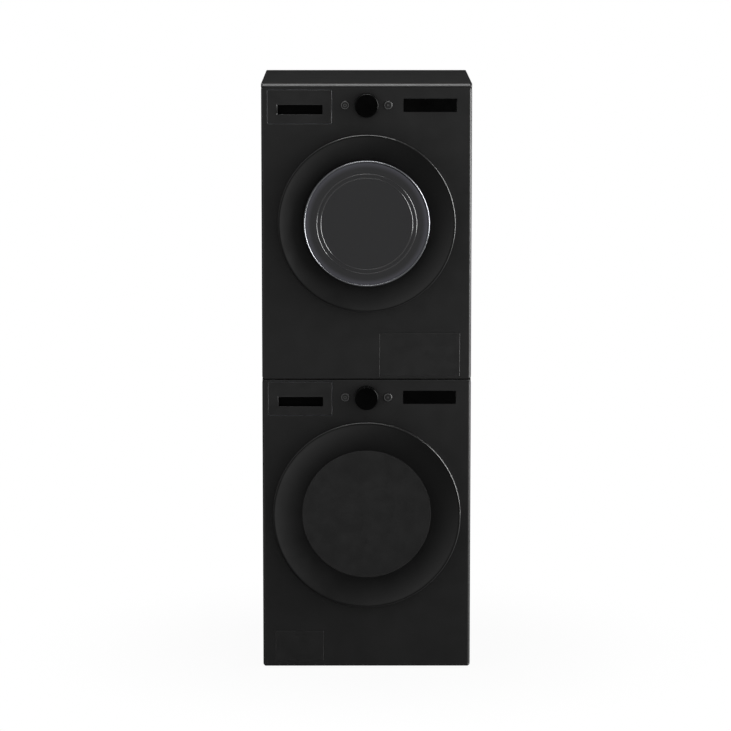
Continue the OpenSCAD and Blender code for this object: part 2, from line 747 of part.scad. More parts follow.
// The inner liner: closes the door's back and bulges into the drum's mouth
module dryer_door_liner() color(grey_plastic) at_front(0, dryer_door_z) {
    difference() {
        union() {
            turned([[150, -8], [dryer_liner_r, -8], [dryer_liner_r, -4], [166, -4], [160, 20], [148, 38],
                    [128, 46], [0, 48], [0, 45], [127, 43], [145.5, 35.5], [157, 18], [162, -5], [150, -5]]);
            latch_hook(dryer_latch_x);
        }
        hinge_slots(dryer_rim_r, -8 - over);
    }
}

module dryer_door_hinge() color(stainless) at_front(0, dryer_door_z) door_hinge(dryer_rim_r);

// ---------- flaps ----------

pump_flap_x = -half_w + 107;
pump_flap_z = floor_gap + 60;
coil_flap_x = half_w - 33 - coil_flap_w / 2;
coil_flap_z = dryer_lo + 8 + coil_flap_h / 2;
flap_t = 2.5;
flap_pin_r = 2;
flap_axis = [4.5, 5]; // the flap's pins: behind its face, and above its lower edge

module pump_flap_place() at_front(pump_flap_x, pump_flap_z) children();
module coil_flap_place() at_front(coil_flap_x, coil_flap_z) children();

// A flush flap with a hinge pin at each end, and a finger notch on top if asked for
module flap(w, h, notch) {
    notch_w = 28;
    notch_h = 13;
    difference() {
        union() {
            plate(w, h, 4, 0, flap_t);
            for (s = [-1, 1]) {
                block([min(s * (w / 2 - 8), s * (w / 2 - 1)), flap_t, -h / 2 + 1],
                      [max(s * (w / 2 - 8), s * (w / 2 - 1)), flap_axis[0] + 2.5, -h / 2 + flap_axis[1] + 3]);
                translate([s * w / 2, flap_axis[0], -h / 2 + flap_axis[1]]) rotate([0, 90, 0])
                    cylinder(r = flap_pin_r, h = 14, center = true);
            }
            if (notch)
                block([-notch_w / 2 - 2, flap_t, h / 2 - notch_h - 2], [notch_w / 2 + 2, 8, h / 2 - 1]);
        }
        if (notch) block([-notch_w / 2, -over, h / 2 - notch_h], [notch_w / 2, 6.5, h / 2 + over]);
    }
}

// Two ears behind the front sheet that hold a flap's pins
module flap_ears(w, h)
    for (s = [-1, 1]) translate([s * (w / 2 + 4.5), 0, -h / 2 + flap_axis[1]]) difference() {
    block([-1.5, sheet_t - 0.2, -5], [1.5, 9, 6]);
    translate([0, flap_axis[0], 0]) rotate([0, 90, 0]) cylinder(r = flap_pin_r + pin_gap, h = 5, center = true);
}

module washer_filter_flap() color(black_steel) pump_flap_place() flap(pump_flap_w, pump_flap_h, true);
module dryer_filter_flap() color(black_steel) coil_flap_place() flap(coil_flap_w, coil_flap_h, false);

// ---------- washer inside ----------

// A folded rubber boot between the front sheet and the tub's mouth
module washer_gasket() color(rubber) at_front(0, washer_door_z) {
    r = washer_opening_r;
    lip = bowl_r - 3;
    turned([[r, sheet_t], [r + 6, sheet_t], [r + 6, 8], [r - 2, 12], [r - 2, 32], [r + 4, 42],
            [r + 4, tub_front_y], [r, tub_front_y], [r - 3, 46], [r - 12, 38], [lip + 4, 34], [lip, 28],
            [lip + 5, 27], [r - 8, 30], [r - 8, 14], [r - 3, 6]]);
}

// The outer tub: a front half with a wide mouth, a rear half with the bearing hub, and two bearings
module washer_tub() color(pale_plastic) at_front(0, washer_door_z) {
    split = tub_front_y + 150;
    r = washer_tub_r;
    hub = bearing_r + 8;
    turned([[washer_opening_r, tub_front_y], [r, tub_front_y], [r, split - 8], [r + 8, split - 8],
            [r + 8, split], [r - tub_t, split], [r - tub_t, tub_front_y + tub_t],
            [washer_opening_r, tub_front_y + tub_t]]);
    difference() {
        union() {
            turned([[r - tub_t, split], [r + 8, split], [r + 8, split + 8], [r, split + 8],
                    [r, tub_back_y + tub_t], [hub, tub_back_y + tub_t], [hub, tub_back_y + 46],
                    [bearing_r, tub_back_y + 46], [bearing_r, tub_back_y - 4], [hub, tub_back_y - 4],
                    [hub, tub_back_y], [r - tub_t, tub_back_y]]);
            for (a = [0:30:330]) rotate([0, a, 0])
                block([hub + 2, tub_back_y + tub_t - 0.5, -2], [rotor_r - 30, tub_back_y + tub_t + 5, 2]);
            damper_lugs();
            spring_lugs();
        }
        rod(r - tub_t, split - over, tub_back_y);
    }
    for (y = [tub_back_y - 2, tub_back_y + 28]) tube(bearing_r - 0.02, shaft_r, y, y + bearing_w);
}

spring_x = washer_tub_r - 42;
spring_y = 330;
spring_top = washer_ctl_z - washer_door_z + 16; // above the door's centre
spring_low = washer_tub_r - 67;
spring_wire_r = 1.8;

// Ears on the tub's shoulders that the springs hook into
module spring_lugs() for (s = [-1, 1]) {
    block([s * spring_x - 14, spring_y - 14, spring_low - 4], [s * spring_x + 14, spring_y + 14, spring_low]);
    block([s * spring_x - 4, spring_y - 14, spring_low - 70], [s * spring_x + 4, spring_y + 14, spring_low - 3]);
}

damper_x = washer_tub_r - 107;
damper_y = 300;
damper_top = 22 - washer_tub_r; // below the door's centre
damper_low = foot_h + 3 - washer_door_z;

// Feet on the tub's belly that the dampers push against
module damper_lugs() for (s = [-1, 1])
    block([s * damper_x - 14, damper_y - 14, damper_top], [s * damper_x + 14, damper_y + 14, damper_top + 35]);

module washer_damper_rods() color(stainless) at_front(0, washer_door_z)
    for (s = [-1, 1]) translate([s * damper_x, damper_y, 0]) {
        post(5, damper_top - 110, damper_top);
        post(10, damper_top - 6, damper_top);
    }

module washer_damper_cylinders() color(black_plastic) at_front(0, washer_door_z)
    for (s = [-1, 1]) translate([s * damper_x, damper_y, 0]) difference() {
        union() {
            post(13, damper_low + 12, damper_top - 22 - float_travel);
            post(18, damper_low, damper_low + 12);
        }
        post(5 + run_gap, damper_low + 20, damper_top);
    }

// A coil spring: one closed tube swept along a helix
module coil(turns, r, wire_r, z0, z1) {
    per_turn = 12;
    sides = 6;
    n = turns * per_turn;
    points = [for (i = [0:n], k = [0:sides - 1])
        let (a = 360 * i / per_turn, b = 360 * k / sides, out = r + wire_r * cos(b))
        [out * cos(a), out * sin(a), z0 + (z1 - z0) * i / n + wire_r * sin(b)]];
    skin = [for (i = [0:n - 1], k = [0:sides - 1])
        let (a = i * sides, b = a + sides, m = (k + 1) % sides)
        each [[a + k, b + k, b + m], [a + k, b + m, a + m]]];
    ends = [[for (k = [0:sides - 1]) k], [for (k = [sides - 1:-1:0]) n * sides + k]];
    polyhedron(points = points, faces = concat(skin, ends));
}

module washer_springs() color(stainless) at_front(0, washer_door_z)
    for (s = [-1, 1]) translate([s * spring_x, spring_y, 0])
        coil(9, 11, spring_wire_r, spring_low + spring_wire_r + 0.3, spring_top);

// Two curved blocks: one over the tub's front and one under it
module washer_counterweights() color(cast_iron) at_front(0, washer_door_z)
    for (s = [-1, 1]) intersection() {
        tube(washer_tub_r - 2, washer_opening_r + 8, 22, tub_front_y);
        block([-190, 0, s > 0 ? 60 : -300], [190, tub_front_y, s > 0 ? 300 : -60]);
    }

module washer_drum() color(stainless) at_front(0, washer_door_z) {
    r = washer_drum_r;
    y0 = washer_drum_y;
    y1 = y0 + washer_drum_len;
    turned([[washer_mouth_r, y0 + 12], [washer_mouth_r, y0 + 3], [washer_mouth_r + 3, y0], [r - 12, y0],
            [r, y0 + 12], [r, y1], [0, y1], [0, y1 - drum_t], [r - drum_t, y1 - drum_t],
            [r - drum_t, y0 + 12.6], [r - 12.6, y0 + drum_t], [washer_mouth_r + 3.6, y0 + drum_t],
            [washer_mouth_r + drum_t, y0 + 3.6], [washer_mouth_r + drum_t, y0 + 12]]);
}

// Three hollow ribs that carry the washing round; r is the drum's inner radius
module lifters(r, y0, y1, base, top, height) {
    wall = 2;
    seat = sqrt(pow(r, 2) - pow(base / 2, 2)) - 0.2;
    for (a = [90, 210, 330]) rotate([0, a, 0]) translate([0, y0, 0]) rotate([-90, 0, 0]) difference() {
        linear_extrude(y1 - y0)
            polygon([[seat, -base / 2], [seat, base / 2],
                     [seat - height, top / 2], [seat - height, -top / 2]]);
        translate([0, 0, wall]) linear_extrude(y1 - y0 - 2 * wall)
            polygon([[seat + over, -base / 2 + wall], [seat + over, base / 2 - wall],
                     [seat - height + wall, top / 2 - wall], [seat - height + wall, -top / 2 + wall]]);
    }
}

module washer_lifters() color(grey_plastic) at_front(0, washer_door_z)
    lifters(washer_drum_r - drum_t, washer_drum_y + 30, washer_drum_y + washer_drum_len - 20, 60, 24, 44);

// A three-armed spider behind the drum, on the shaft that goes through the tub
module washer_drum_shaft() color("#8f9194") at_front(0, washer_door_z) {
    y0 = washer_drum_y + washer_drum_len;
    rod(shaft_r - pin_gap, y0 + 4, tub_back_y + 62);
    rod(30, y0, y0 + 16);
    for (a = [90, 210, 330]) rotate([0, a, 0]) block([20, y0, -12], [washer_drum_r - 6, y0 + 12, 12]);
}

// The direct-drive motor: coils fixed to the tub's back, and a cup of magnets round them
module washer_stator() color(copper) at_front(0, washer_door_z) {
    y0 = tub_back_y + 9.5;
    core = rotor_r - 32;
    tube(core, core - 22, y0, y0 + 22);
    tube(core - 21, bearing_r + 8.5, y0, y0 + 5);
    for (a = [0:15:345]) rotate([0, a, 0]) block([core - 1, y0, -7], [core + 24, y0 + 22, 7]);
}

module washer_rotor() color("#3d4043") at_front(0, washer_door_z) {
    y0 = tub_back_y + 12;
    y1 = tub_back_y + 50;
    turned([[shaft_r, y1], [shaft_r, y1 + 6], [40, y1 + 6], [44, y1], [rotor_r, y1],
            [rotor_r, y0], [rotor_r - 3, y0], [rotor_r - 3, y1 - 3], [42, y1 - 3], [38, y1]]);
}

// Pump: a filter barrel that opens to the front, a motor behind it and a hose stub
pump_len = 120;
module washer_drain_pump() color(pale_plastic) pump_flap_place() {
    tube(30, 26.5, 14, pump_len);
    rod(30, pump_len, pump_len + 8);
    rod(24, pump_len + 8, pump_len + 62);
    translate([0, 70, 28]) rotate([0, 20, 0]) post(11, 0, 34);
    block([-26, 40, foot_h + 3 - pump_flap_z], [26, 48, -26]);
    block([-26, 95, foot_h + 3 - pump_flap_z], [26, 103, -26]);
}

// The filter unscrews: a cap with a grip bar, and a comb that catches what the water carries
module washer_pump_filter() color(grey_plastic) pump_flap_place() {
    rod(29, 11, 13.7);
    block([-22, 8.6, -4], [22, 11, 4]);
    rod(26.5 - run_gap, 13.7, 26);
    tube(24, 20, 26, 34);
    for (a = [0:45:315]) rotate([0, a, 0]) block([20.5, 26, -2], [23.5, 95, 2]);
    tube(24, 20, 90, 96);
}

// Hot and cold valves: threaded inlets that stand out of the back, and their coils
module washer_inlet_valves() color(pale_plastic) {
    for (s = [-1, 1]) translate([inlet_x(s), 0, inlet_z]) {
        tube(inlet_r, 9, back_y - 14, back_y + rear_out);
        rod(17, back_y - 34, back_y - sheet_t);
        block([-13, back_y - 62, -13], [13, back_y - 34, 13]);
    }
    translate([drain_x, 0, washer_drain_z])
        tube(spigot_r, spigot_r - 2.5, back_y - 30, back_y + rear_out - 2);
    translate([drain_x, 0, washer_drain_z]) rod(16, back_y - 32, back_y - sheet_t);
    translate([gland_x, 0, washer_gland_z]) tube(gland_body_r, gland_r, back_y - 12, back_y + 8);
}

// ---------- dryer inside ----------

duct_z = -156;
axle_r = 5;

// A steel panel in front of the drum: a ring that the drum turns against, the rollers' two axles,
// and the lint filter's slot at the bottom of its mouth
module dryer_bulkhead() color(black_plastic) at_front(0, dryer_door_z) {
    mouth = 172;
    difference() {
        union() {
            block([-half_w + sheet_t + lay_gap, 18, -300], [half_w - sheet_t - lay_gap, 21, 262]);
            rod(mouth + 6, sheet_t, 40);
            tube(dryer_drum_r - 8, dryer_drum_r - 12, 20, dryer_drum_y + 13);
            block([-120, 6, -290], [120, 40, duct_z]);
        }
        rod(mouth, 0, 70);
        block([-106, 12, -286], [106, 36, duct_z + 20]);
    }
    for (s = [-1, 1]) translate([roller_x(s), 0, roller_z]) {
        rod(axle_r, 20, 97);
        rod(axle_r + 4, 20, 71);
    }
}

module dryer_lint_filter() color(grey_plastic) at_front(0, dryer_door_z) {
    difference() {
        block([-100, 14, -285.7], [100, 34, duct_z - 14]);
        block([-92, 18, -276], [92, 30, duct_z - 22]);
        for (i = [-3:3]) block([i * 26 - 10, 10, -268], [i * 26 + 10, 40, duct_z - 30]);
    }
    block([-60, 16, duct_z - 14], [60, 32, duct_z - 9]);
}

module dryer_drum() color(stainless) at_front(0, dryer_door_z) {
    r = dryer_drum_r;
    y0 = dryer_drum_y + 14;
    y1 = dryer_drum_y + dryer_drum_len;
    turned([[r - 4, y0], [r, y0 + 4], [r, y1], [0, y1], [0, y1 - drum_t], [r - drum_t, y1 - drum_t],
            [r - drum_t, y0 + 4.6], [r - 4.6, y0 + drum_t], [r - 5.6, y0 + drum_t], [r - 5.6, y0]]);
    rod(drum_pin_r, y1, drum_bush_y + 14);
    lifters(r - drum_t, y0 + 40, y1 - 30, 60, 26, 48);
}

function roller_x(s) = s * (dryer_drum_r + roller_r + run_gap) * sin(roller_angle);
roller_z = -(dryer_drum_r + roller_r + run_gap) * cos(roller_angle);

// A rubber-tyred roller that turns on an axle of the front panel
module roller(s) at_front(roller_x(s), dryer_door_z + roller_z) tube(roller_r, axle_r + pin_gap, 72, 92);

module dryer_roller_left() color(rubber) roller(-1);
module dryer_roller_right() color(rubber) roller(1);

// An arc of points about a centre
function arc(centre, r, from, to, n) =
    [for (i = [0:n]) let (a = from + (to - from) * i / n) centre + r * [cos(a), sin(a)]];

// The belt's outline, grown outwards: an arc round the drum, an arc round the pulley, and two straight runs
function belt_outline(away, grow) =
    let (big = dryer_drum_r + run_gap + grow, small = pulley_r + run_gap + grow,
         aim = atan2(away[1], away[0]), half_angle = acos((big - small) / norm(away)))
    concat(arc([0, 0], big, aim + half_angle, aim + 360 - half_angle, 96),
           arc(away, small, aim - half_angle, aim + half_angle, 12));

module dryer_belt() color("#1c1c1c") at_front(0, dryer_door_z) {
    away = [pulley_x, pulley_z - dryer_door_z];
    translate([0, belt_y + belt_w, 0]) rotate([90, 0, 0]) linear_extrude(belt_w) difference() {
        polygon(belt_outline(away, belt_t));
        polygon(belt_outline(away, 0));
    }
}

// The motor on its stand, with the fan's housing behind it
module dryer_motor() color("#6f7276") at_front(pulley_x, pulley_z) {
    fan_y = motor_y[1] + 10;
    difference() {
        union() {
            rod(48, motor_y[0], motor_y[1]);
            block([-52, motor_y[0] + 8, dryer_base_top - pulley_z], [52, motor_y[1] - 8, -30]);
            rod(24, motor_y[1] - 1, fan_y + 1);
            rod(64, fan_y, fan_y + 56);
        }
        rod(fan_shaft_r + pin_gap, motor_y[0] - over, fan_y + 60);
        rod(61, fan_y + 3, fan_y + 60);
    }
}

dryer_base_top = unit_h + dryer_foot_h + 3;

// The motor's shaft, with the belt pulley in front and the fan wheel behind
fan_shaft_r = 6;
module dryer_fan_shaft() color(grey_plastic) at_front(pulley_x, pulley_z) {
    rod(fan_shaft_r, belt_y - 6, motor_y[1] + 68);
    rod(pulley_r, belt_y - 3, belt_y + belt_w + 3);
    rod(20, motor_y[1] + 16, motor_y[1] + 60);
    for (a = [0:30:330]) rotate([0, a, 0]) block([18, motor_y[1] + 16, -1], [56, motor_y[1] + 60, 1]);
    rod(58, motor_y[1] + 60, motor_y[1] + 62);
}

// Compressor, evaporator and condenser, with the pipes between them
module dryer_heat_pump() color("#9a9da0") {
    coil_x = [44, 236];
    coil_d = 90;
    coil_h = 110;
    pitch = 16;
    at_front(-190, dryer_base_top) translate([0, 420, 0]) {
        post(58, 0, 120);
        for (a = [0:120:240]) rotate([0, 0, a]) block([40, -12, 0], [76, 12, 4]);
    }
    for (y = [70, 190]) at_front(0, dryer_base_top) {
        for (plate_y = [y, y + coil_d - 4]) block([coil_x[0], plate_y, 0], [coil_x[1], plate_y + 4, coil_h]);
        for (x = [coil_x[0] + 4:pitch:coil_x[1] - 4])
            block([x, y + 2, 4], [x + 2, y + coil_d - 2, coil_h - 2]);
        block([coil_x[0], y, 0], [coil_x[1], y + coil_d, 8]);
    }
    // one pipe forward from the compressor, and one along to each coil
    at_front(-150, dryer_base_top + 20) rod(5, 115, 425);
    for (y = [120, 240])
        at_front(-150, dryer_base_top + 20)
            translate([0, y, 0]) rotate([0, 90, 0]) cylinder(r = 5, h = coil_x[0] + 154);
    translate([drain_x, 0, dryer_drain_z]) {
        tube(spigot_r, spigot_r - 2.5, back_y - 20, back_y + rear_out - 2);
        tube(16, spigot_r - 1, back_y - 8, back_y - sheet_t);
    }
    translate([gland_x, 0, dryer_gland_z]) tube(gland_body_r, gland_r, back_y - 12, back_y + 8);
}

// ---------- assembly ----------

leveling_feet();
rear_covers();
display_windows();
control_boards();
door_fittings();
stacking_brackets();
drawer_housings();
washer_cabinet();
washer_top_panel();
washer_front_panel();
washer_base();
washer_gasket();
washer_springs();
washer_damper_cylinders();
washer_damper_rods();
washer_drain_pump();
washer_pump_filter();
washer_filter_flap();
washer_inlet_valves();
washer_tub();
washer_counterweights();
washer_stator();
washer_drum();
washer_lifters();
washer_drum_shaft();
washer_rotor();
washer_detergent_drawer();
washer_drawer_fascia();
washer_knob();
washer_button_left();
washer_button_right();
washer_door_ring();
washer_door_disc();
washer_door_bowl();
washer_door_frame();
washer_door_hinge();
dryer_cabinet();
dryer_top_panel();
dryer_front_panel();
dryer_base();
dryer_bulkhead();
dryer_drum();
dryer_roller_left();
dryer_roller_right();
dryer_belt();
dryer_motor();
dryer_fan_shaft();
dryer_heat_pump();
dryer_lint_filter();
dryer_filter_flap();
dryer_water_tank();
dryer_tank_fascia();
dryer_knob();
dryer_button_left();
dryer_button_right();
dryer_door_ring();
dryer_door_trim();
dryer_door_glass();
dryer_door_liner();
dryer_door_hinge();
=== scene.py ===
"""A washer with a dryer stacked on it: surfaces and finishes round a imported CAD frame.

Lengths are in metres. X runs to the right, Y to the back and Z up.
"""

import math

import bmesh
import bpy
import numpy as np
from bpy.props import FloatProperty, FloatVectorProperty, IntProperty, PointerProperty
from bpy.types import Operator, Panel, PropertyGroup
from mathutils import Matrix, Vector
from mathutils.geometry import tessellate_polygon


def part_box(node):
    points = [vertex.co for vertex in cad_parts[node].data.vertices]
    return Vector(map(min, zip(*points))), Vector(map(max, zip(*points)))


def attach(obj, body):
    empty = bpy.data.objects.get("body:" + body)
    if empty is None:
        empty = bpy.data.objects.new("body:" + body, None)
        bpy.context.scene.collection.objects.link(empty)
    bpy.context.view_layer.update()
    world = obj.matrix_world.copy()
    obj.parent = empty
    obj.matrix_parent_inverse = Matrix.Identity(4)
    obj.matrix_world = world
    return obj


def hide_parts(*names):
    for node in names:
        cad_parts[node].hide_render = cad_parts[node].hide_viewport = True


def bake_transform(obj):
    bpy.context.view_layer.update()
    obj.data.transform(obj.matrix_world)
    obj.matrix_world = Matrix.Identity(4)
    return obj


bl_info = {
    "name": "Stacked washer and dryer",
    "version": (1, 0, 0),
    "blender": (4, 5, 0),
    "location": "3D View > Sidebar > Laundry",
    "description": "Builds the skins, doors, controls and finishes of a stacked washer and dryer",
    "category": "Object",
}

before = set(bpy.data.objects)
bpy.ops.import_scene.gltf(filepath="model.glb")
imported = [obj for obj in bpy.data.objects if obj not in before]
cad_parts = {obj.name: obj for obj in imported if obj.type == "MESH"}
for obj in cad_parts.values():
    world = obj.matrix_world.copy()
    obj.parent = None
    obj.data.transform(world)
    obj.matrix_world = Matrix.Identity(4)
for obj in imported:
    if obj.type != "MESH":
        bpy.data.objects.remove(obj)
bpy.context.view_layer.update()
MM = 0.001
AROUND = 160  # steps round a large ring
CAMERA_TILT = math.radians(8.415)
CAMERA_ROLL = -0.002  # radians
CAMERA_PLACE = (-0.0231, -10.2824, 2.370)
LENS, SENSOR = 173.4, 36  # in millimetres


def linear(hex_colour):
    """An sRGB hex colour as linear red, green, blue and alpha."""
    channels = [int(hex_colour[i:i + 2], 16) / 255 for i in (1, 3, 5)]
    return tuple(c / 12.92 if c <= 0.04045 else ((c + 0.055) / 1.055) ** 2.4 for c in channels) + (1.0,)


# ---------------------------------------------------------------- places, from the frame


class Machine:
    """Where one machine's parts are, in metres: name is washer or dryer."""

    def __init__(self, name):
        low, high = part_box(f"{name}_front_panel")
        self.front = low.y
        self.left, self.right = low.x, high.x
        self.bottom, self.top = low.z, high.z
        ring_low, ring_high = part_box(f"{name}_door_ring")
        self.door_z = (ring_low.z + ring_high.z) / 2
        self.rim = (ring_high.z - ring_low.z) / 2
        knob_low, knob_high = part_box(f"{name}_knob")
        self.controls_z = (knob_low.z + knob_high.z) / 2
        fascia = "washer_drawer_fascia" if name == "washer" else "dryer_tank_fascia"
        self.drawer = middle_and_size(fascia)
        self.flap_low, self.flap_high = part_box(f"{name}_filter_flap")
        self.cabinet_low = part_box(f"{name}_cabinet")[0]


def middle_and_size(node):
    """A node's middle in X and Z, and its size in X and Z."""
    low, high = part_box(node)
    return (low.x + high.x) / 2, (low.z + high.z) / 2, high.x - low.x, high.z - low.z


WASHER = Machine("washer")
DRYER = Machine("dryer")


# ---------------------------------------------------------------- surfaces


def grid_faces(rows, columns, wrap_rows=False, wrap_columns=True):
    """Quads between neighbouring rows and columns of a grid of points, joined up at the ends if asked."""
    i = np.arange(rows if wrap_rows else rows - 1)[:, None]
    j = np.arange(columns if wrap_columns else columns - 1)[None, :]
    i2, j2 = (i + 1) % rows, (j + 1) % columns
    quads = np.stack(np.broadcast_arrays(i * columns + j, i * columns + j2, i2 * columns + j2,
                                         i2 * columns + j), -1)
    return quads.reshape(-1, 4).tolist()


def grid_part(points, wrap_rows=False, wrap_columns=True):
    """A grid of points with its faces."""
    rows, columns = points.shape[:2]
    return points.reshape(-1, 3), grid_faces(rows, columns, wrap_rows, wrap_columns)


def filled(loops):
    """A flat face bounded by the first loop of points, with the other loops as holes in it."""
    points = np.concatenate(loops)
    triangles = tessellate_polygon([[Vector(p) for p in loop] for loop in loops])
    return points, [list(t) for t in triangles]


def eased(profile, radii, steps=5):
    """Rounds a profile's corners. Each corner becomes a quadratic arc that starts and ends its radius away
    along the two sides."""
    p = np.asarray(profile, float)
    made = [p[:1]]
    for before, corner, after, radius in zip(p[:-2], p[1:-1], p[2:], radii):
        if radius <= 0:
            made.append(corner[None])
            continue
        to_before, to_after = before - corner, after - corner
        start = corner + to_before * min(radius / np.linalg.norm(to_before), 0.49)
        end = corner + to_after * min(radius / np.linalg.norm(to_after), 0.49)
        t = np.linspace(0, 1, steps + 1)[:, None]
        made.append((1 - t) ** 2 * start + 2 * t * (1 - t) * corner + t ** 2 * end)
    made.append(p[-1:])
    return np.concatenate(made)


def turned(profile, x, y, z, around=AROUND, closed=True):
    """Carries a profile of (radius, depth) round a line that runs front to back through x and z.

    A point at angle t is (x + r sin t, y + depth, z + r cos t)."""
    r, depth = np.asarray(profile, float).T
    t = np.linspace(0, 2 * math.pi, around, endpoint=False)
    grid = np.stack([x + r[:, None] * np.sin(t), y + np.repeat(depth[:, None], around, 1),
                     z + r[:, None] * np.cos(t)], -1)
    return grid_part(grid, wrap_rows=closed)


def rounded_outline(width, height, radius, steps=8, low_radius=None):
    """Points (x, z) and outward normals round a rectangle whose corners are quarter circles; the low ones may
    be tighter."""
    t = np.linspace(0, math.pi / 2, steps + 1)
    arc = np.stack([np.cos(t), np.sin(t)], -1)
    normals = np.concatenate([arc, arc[:, ::-1] * [-1, 1], -arc, arc[:, ::-1] * [1, -1]])
    signs = np.repeat([[1, 1], [-1, 1], [-1, -1], [1, -1]], steps + 1, 0)
    r = np.where(signs[:, 1:] > 0, radius, radius if low_radius is None else low_radius)
    return signs * ([width / 2, height / 2] - r) + normals * r, normals


def circle_outline(radius, steps=AROUND):
    """Points (x, z) and outward normals round a circle."""
    t = np.linspace(0, 2 * math.pi, steps, endpoint=False)
    normals = np.stack([np.cos(t), np.sin(t)], -1)
    return normals * radius, normals


def moved(outline, x, z):
    """An outline shifted by x and z, with its normals."""
    return outline[0] + [x, z], outline[1]


def carried(outline, profile):
    """Carries a profile round an outline. A profile point is (how far outward along the normal, depth)."""
    points, normals = outline
    out, depth = np.asarray(profile, float).T
    flat = points[None] + normals[None] * out[:, None, None]
    depths = np.broadcast_to(depth[:, None], flat.shape[:2])
    return np.stack([flat[..., 0], depths, flat[..., 1]], -1)


def edge_profile(edge, y0, y1, side):
    """The rounded edge of a sheet: a quarter circle from its face, then straight back. side is 1 for a hole,
    -1 for an outer edge."""
    t = np.linspace(0, math.pi / 2, 5)
    arc = np.stack([side * edge * (1 - np.sin(t)), y0 + edge * (1 - np.cos(t))], -1)
    return np.concatenate([arc, [[0, y1]]])


def sheet(outer, holes, y0, y1, edge):
    """A flat sheet from depth y0 to y1 with a rounded edge all round and round each hole."""
    rims = [carried(outer, edge_profile(edge, y0, y1, -1))]
    rims += [carried(hole, edge_profile(edge, y0, y1, 1)) for hole in holes]
    return [grid_part(rim) for rim in rims] + [filled([rim[0] for rim in rims]),
                                               filled([rim[-1] for rim in rims])]


def to_front(parts, x, y, z):
    """Parts drawn about the origin, facing front, moved to x, y and z."""
    return [(np.asarray(points) + [x, y, z], faces) for points, faces in parts]


def to_back(parts, x, y, z):
    """Parts drawn facing front, turned half round so that they face back."""
    return [(np.asarray(points) * [-1, -1, 1] + [x, y, z], faces) for points, faces in parts]


def tube_along(path, radius, sides=10, closed=False):
    """A round tube along a path of points. Each ring lies across the path, and is turned by cross products
    with the upright, or with X where the path is steep."""
    path = np.asarray(path, float)
    along = np.gradient(path, axis=0)
    along /= np.linalg.norm(along, axis=1)[:, None]
    helper = np.where(np.abs(along[:, 2:3]) < 0.9, [[0.0, 0.0, 1.0]], [[1.0, 0.0, 0.0]])
    one = np.cross(along, helper)
    one /= np.linalg.norm(one, axis=1)[:, None]
    two = np.cross(along, one)
    t = np.linspace(0, 2 * math.pi, sides, endpoint=False)
    rings = path[:, None] + radius * (one[:, None] * np.cos(t)[:, None] + two[:, None] * np.sin(t)[:, None])
    if not closed:
        ends = np.repeat(path[[0, -1]][:, None], sides, 1)
        rings = np.concatenate([ends[:1], rings, ends[1:]])
    return grid_part(rings, wrap_rows=closed)


def stroke(points, width, y0, y1):
    """A flat line of that width along (x, z) points, between two depths, as one closed strip."""
    p = np.asarray(points, float)
    along = np.gradient(p, axis=0)
    along /= np.linalg.norm(along, axis=1)[:, None]
    across = np.stack([-along[:, 1], along[:, 0]], -1) * width / 2
    left, right = p + across, p - across
    corners = [(left, y0), (right, y0), (right, y1), (left, y1)]
    rings = np.stack([np.stack([c[:, 0], np.full(len(c), y), c[:, 1]], -1) for c, y in corners], 1)
    ends = np.repeat(rings[[0, -1]].mean(1)[:, None], 4, 1)
    return grid_part(np.concatenate([ends[:1], rings, ends[1:]]))


def screw_head(radius, recess=0.45):
    """A domed screw head that faces front, with a six-lobed socket.

    Height is a dome of the radius, less a flat-bottomed socket inside a wavy circle."""
    around = 36
    t = np.linspace(0, 2 * math.pi, around, endpoint=False)
    lobes = recess * radius * (1 + 0.16 * np.cos(6 * t))
    rings = [np.full(around, share) * radius for share in (1.0, 0.93, 0.75)]
    rings += [lobes * 1.02, lobes, lobes * 0.96, np.zeros(around)]
    depths = np.array([0.0, -0.3, -0.5, -0.56, -0.5, -0.15, -0.12]) * radius
    grid = np.stack([np.stack([r * np.cos(t), np.full(around, d), r * np.sin(t)], -1)
                     for r, d in zip(rings, depths)])
    under = np.zeros((1, around, 3))
    return grid_part(np.concatenate([under, grid]))


def piece(name, parts, material, body, stands_for=(), angle=35, weighted=True):
    """Makes one object from parts, closes its seams, turns its faces outward and hangs it on a body, if it
    has just one."""
    points, faces, start = [], [], 0
    for part_points, part_faces in parts:
        points.append(np.asarray(part_points, float))
        faces += [[start + i for i in face] for face in part_faces]
        start += len(part_points)
    mesh = bpy.data.meshes.new(name)
    mesh.from_pydata(np.concatenate(points).tolist(), [], faces)
    tidy_mesh(mesh)
    mesh.polygons.foreach_set("use_smooth", [True] * len(mesh.polygons))
    mesh.set_sharp_from_angle(angle=math.radians(angle))
    made = bpy.data.objects.new(name, mesh)
    bpy.context.scene.collection.objects.link(made)
    mesh.materials.append(material)
    if weighted:
        evened = made.modifiers.new("Even shading", "WEIGHTED_NORMAL")
        evened.keep_sharp = True
    if body:
        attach(made, body)
    if stands_for:
        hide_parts(*stands_for)
    return made


def tidy_mesh(mesh):
    """Merges doubled points, drops faces without area and turns the rest outward."""
    work = bmesh.new()
    work.from_mesh(mesh)
    bmesh.ops.remove_doubles(work, verts=work.verts, dist=2e-6)
    bmesh.ops.dissolve_degenerate(work, edges=work.edges, dist=1e-7)
    bmesh.ops.recalc_face_normals(work, faces=work.faces)
    work.to_mesh(mesh)
    work.free()


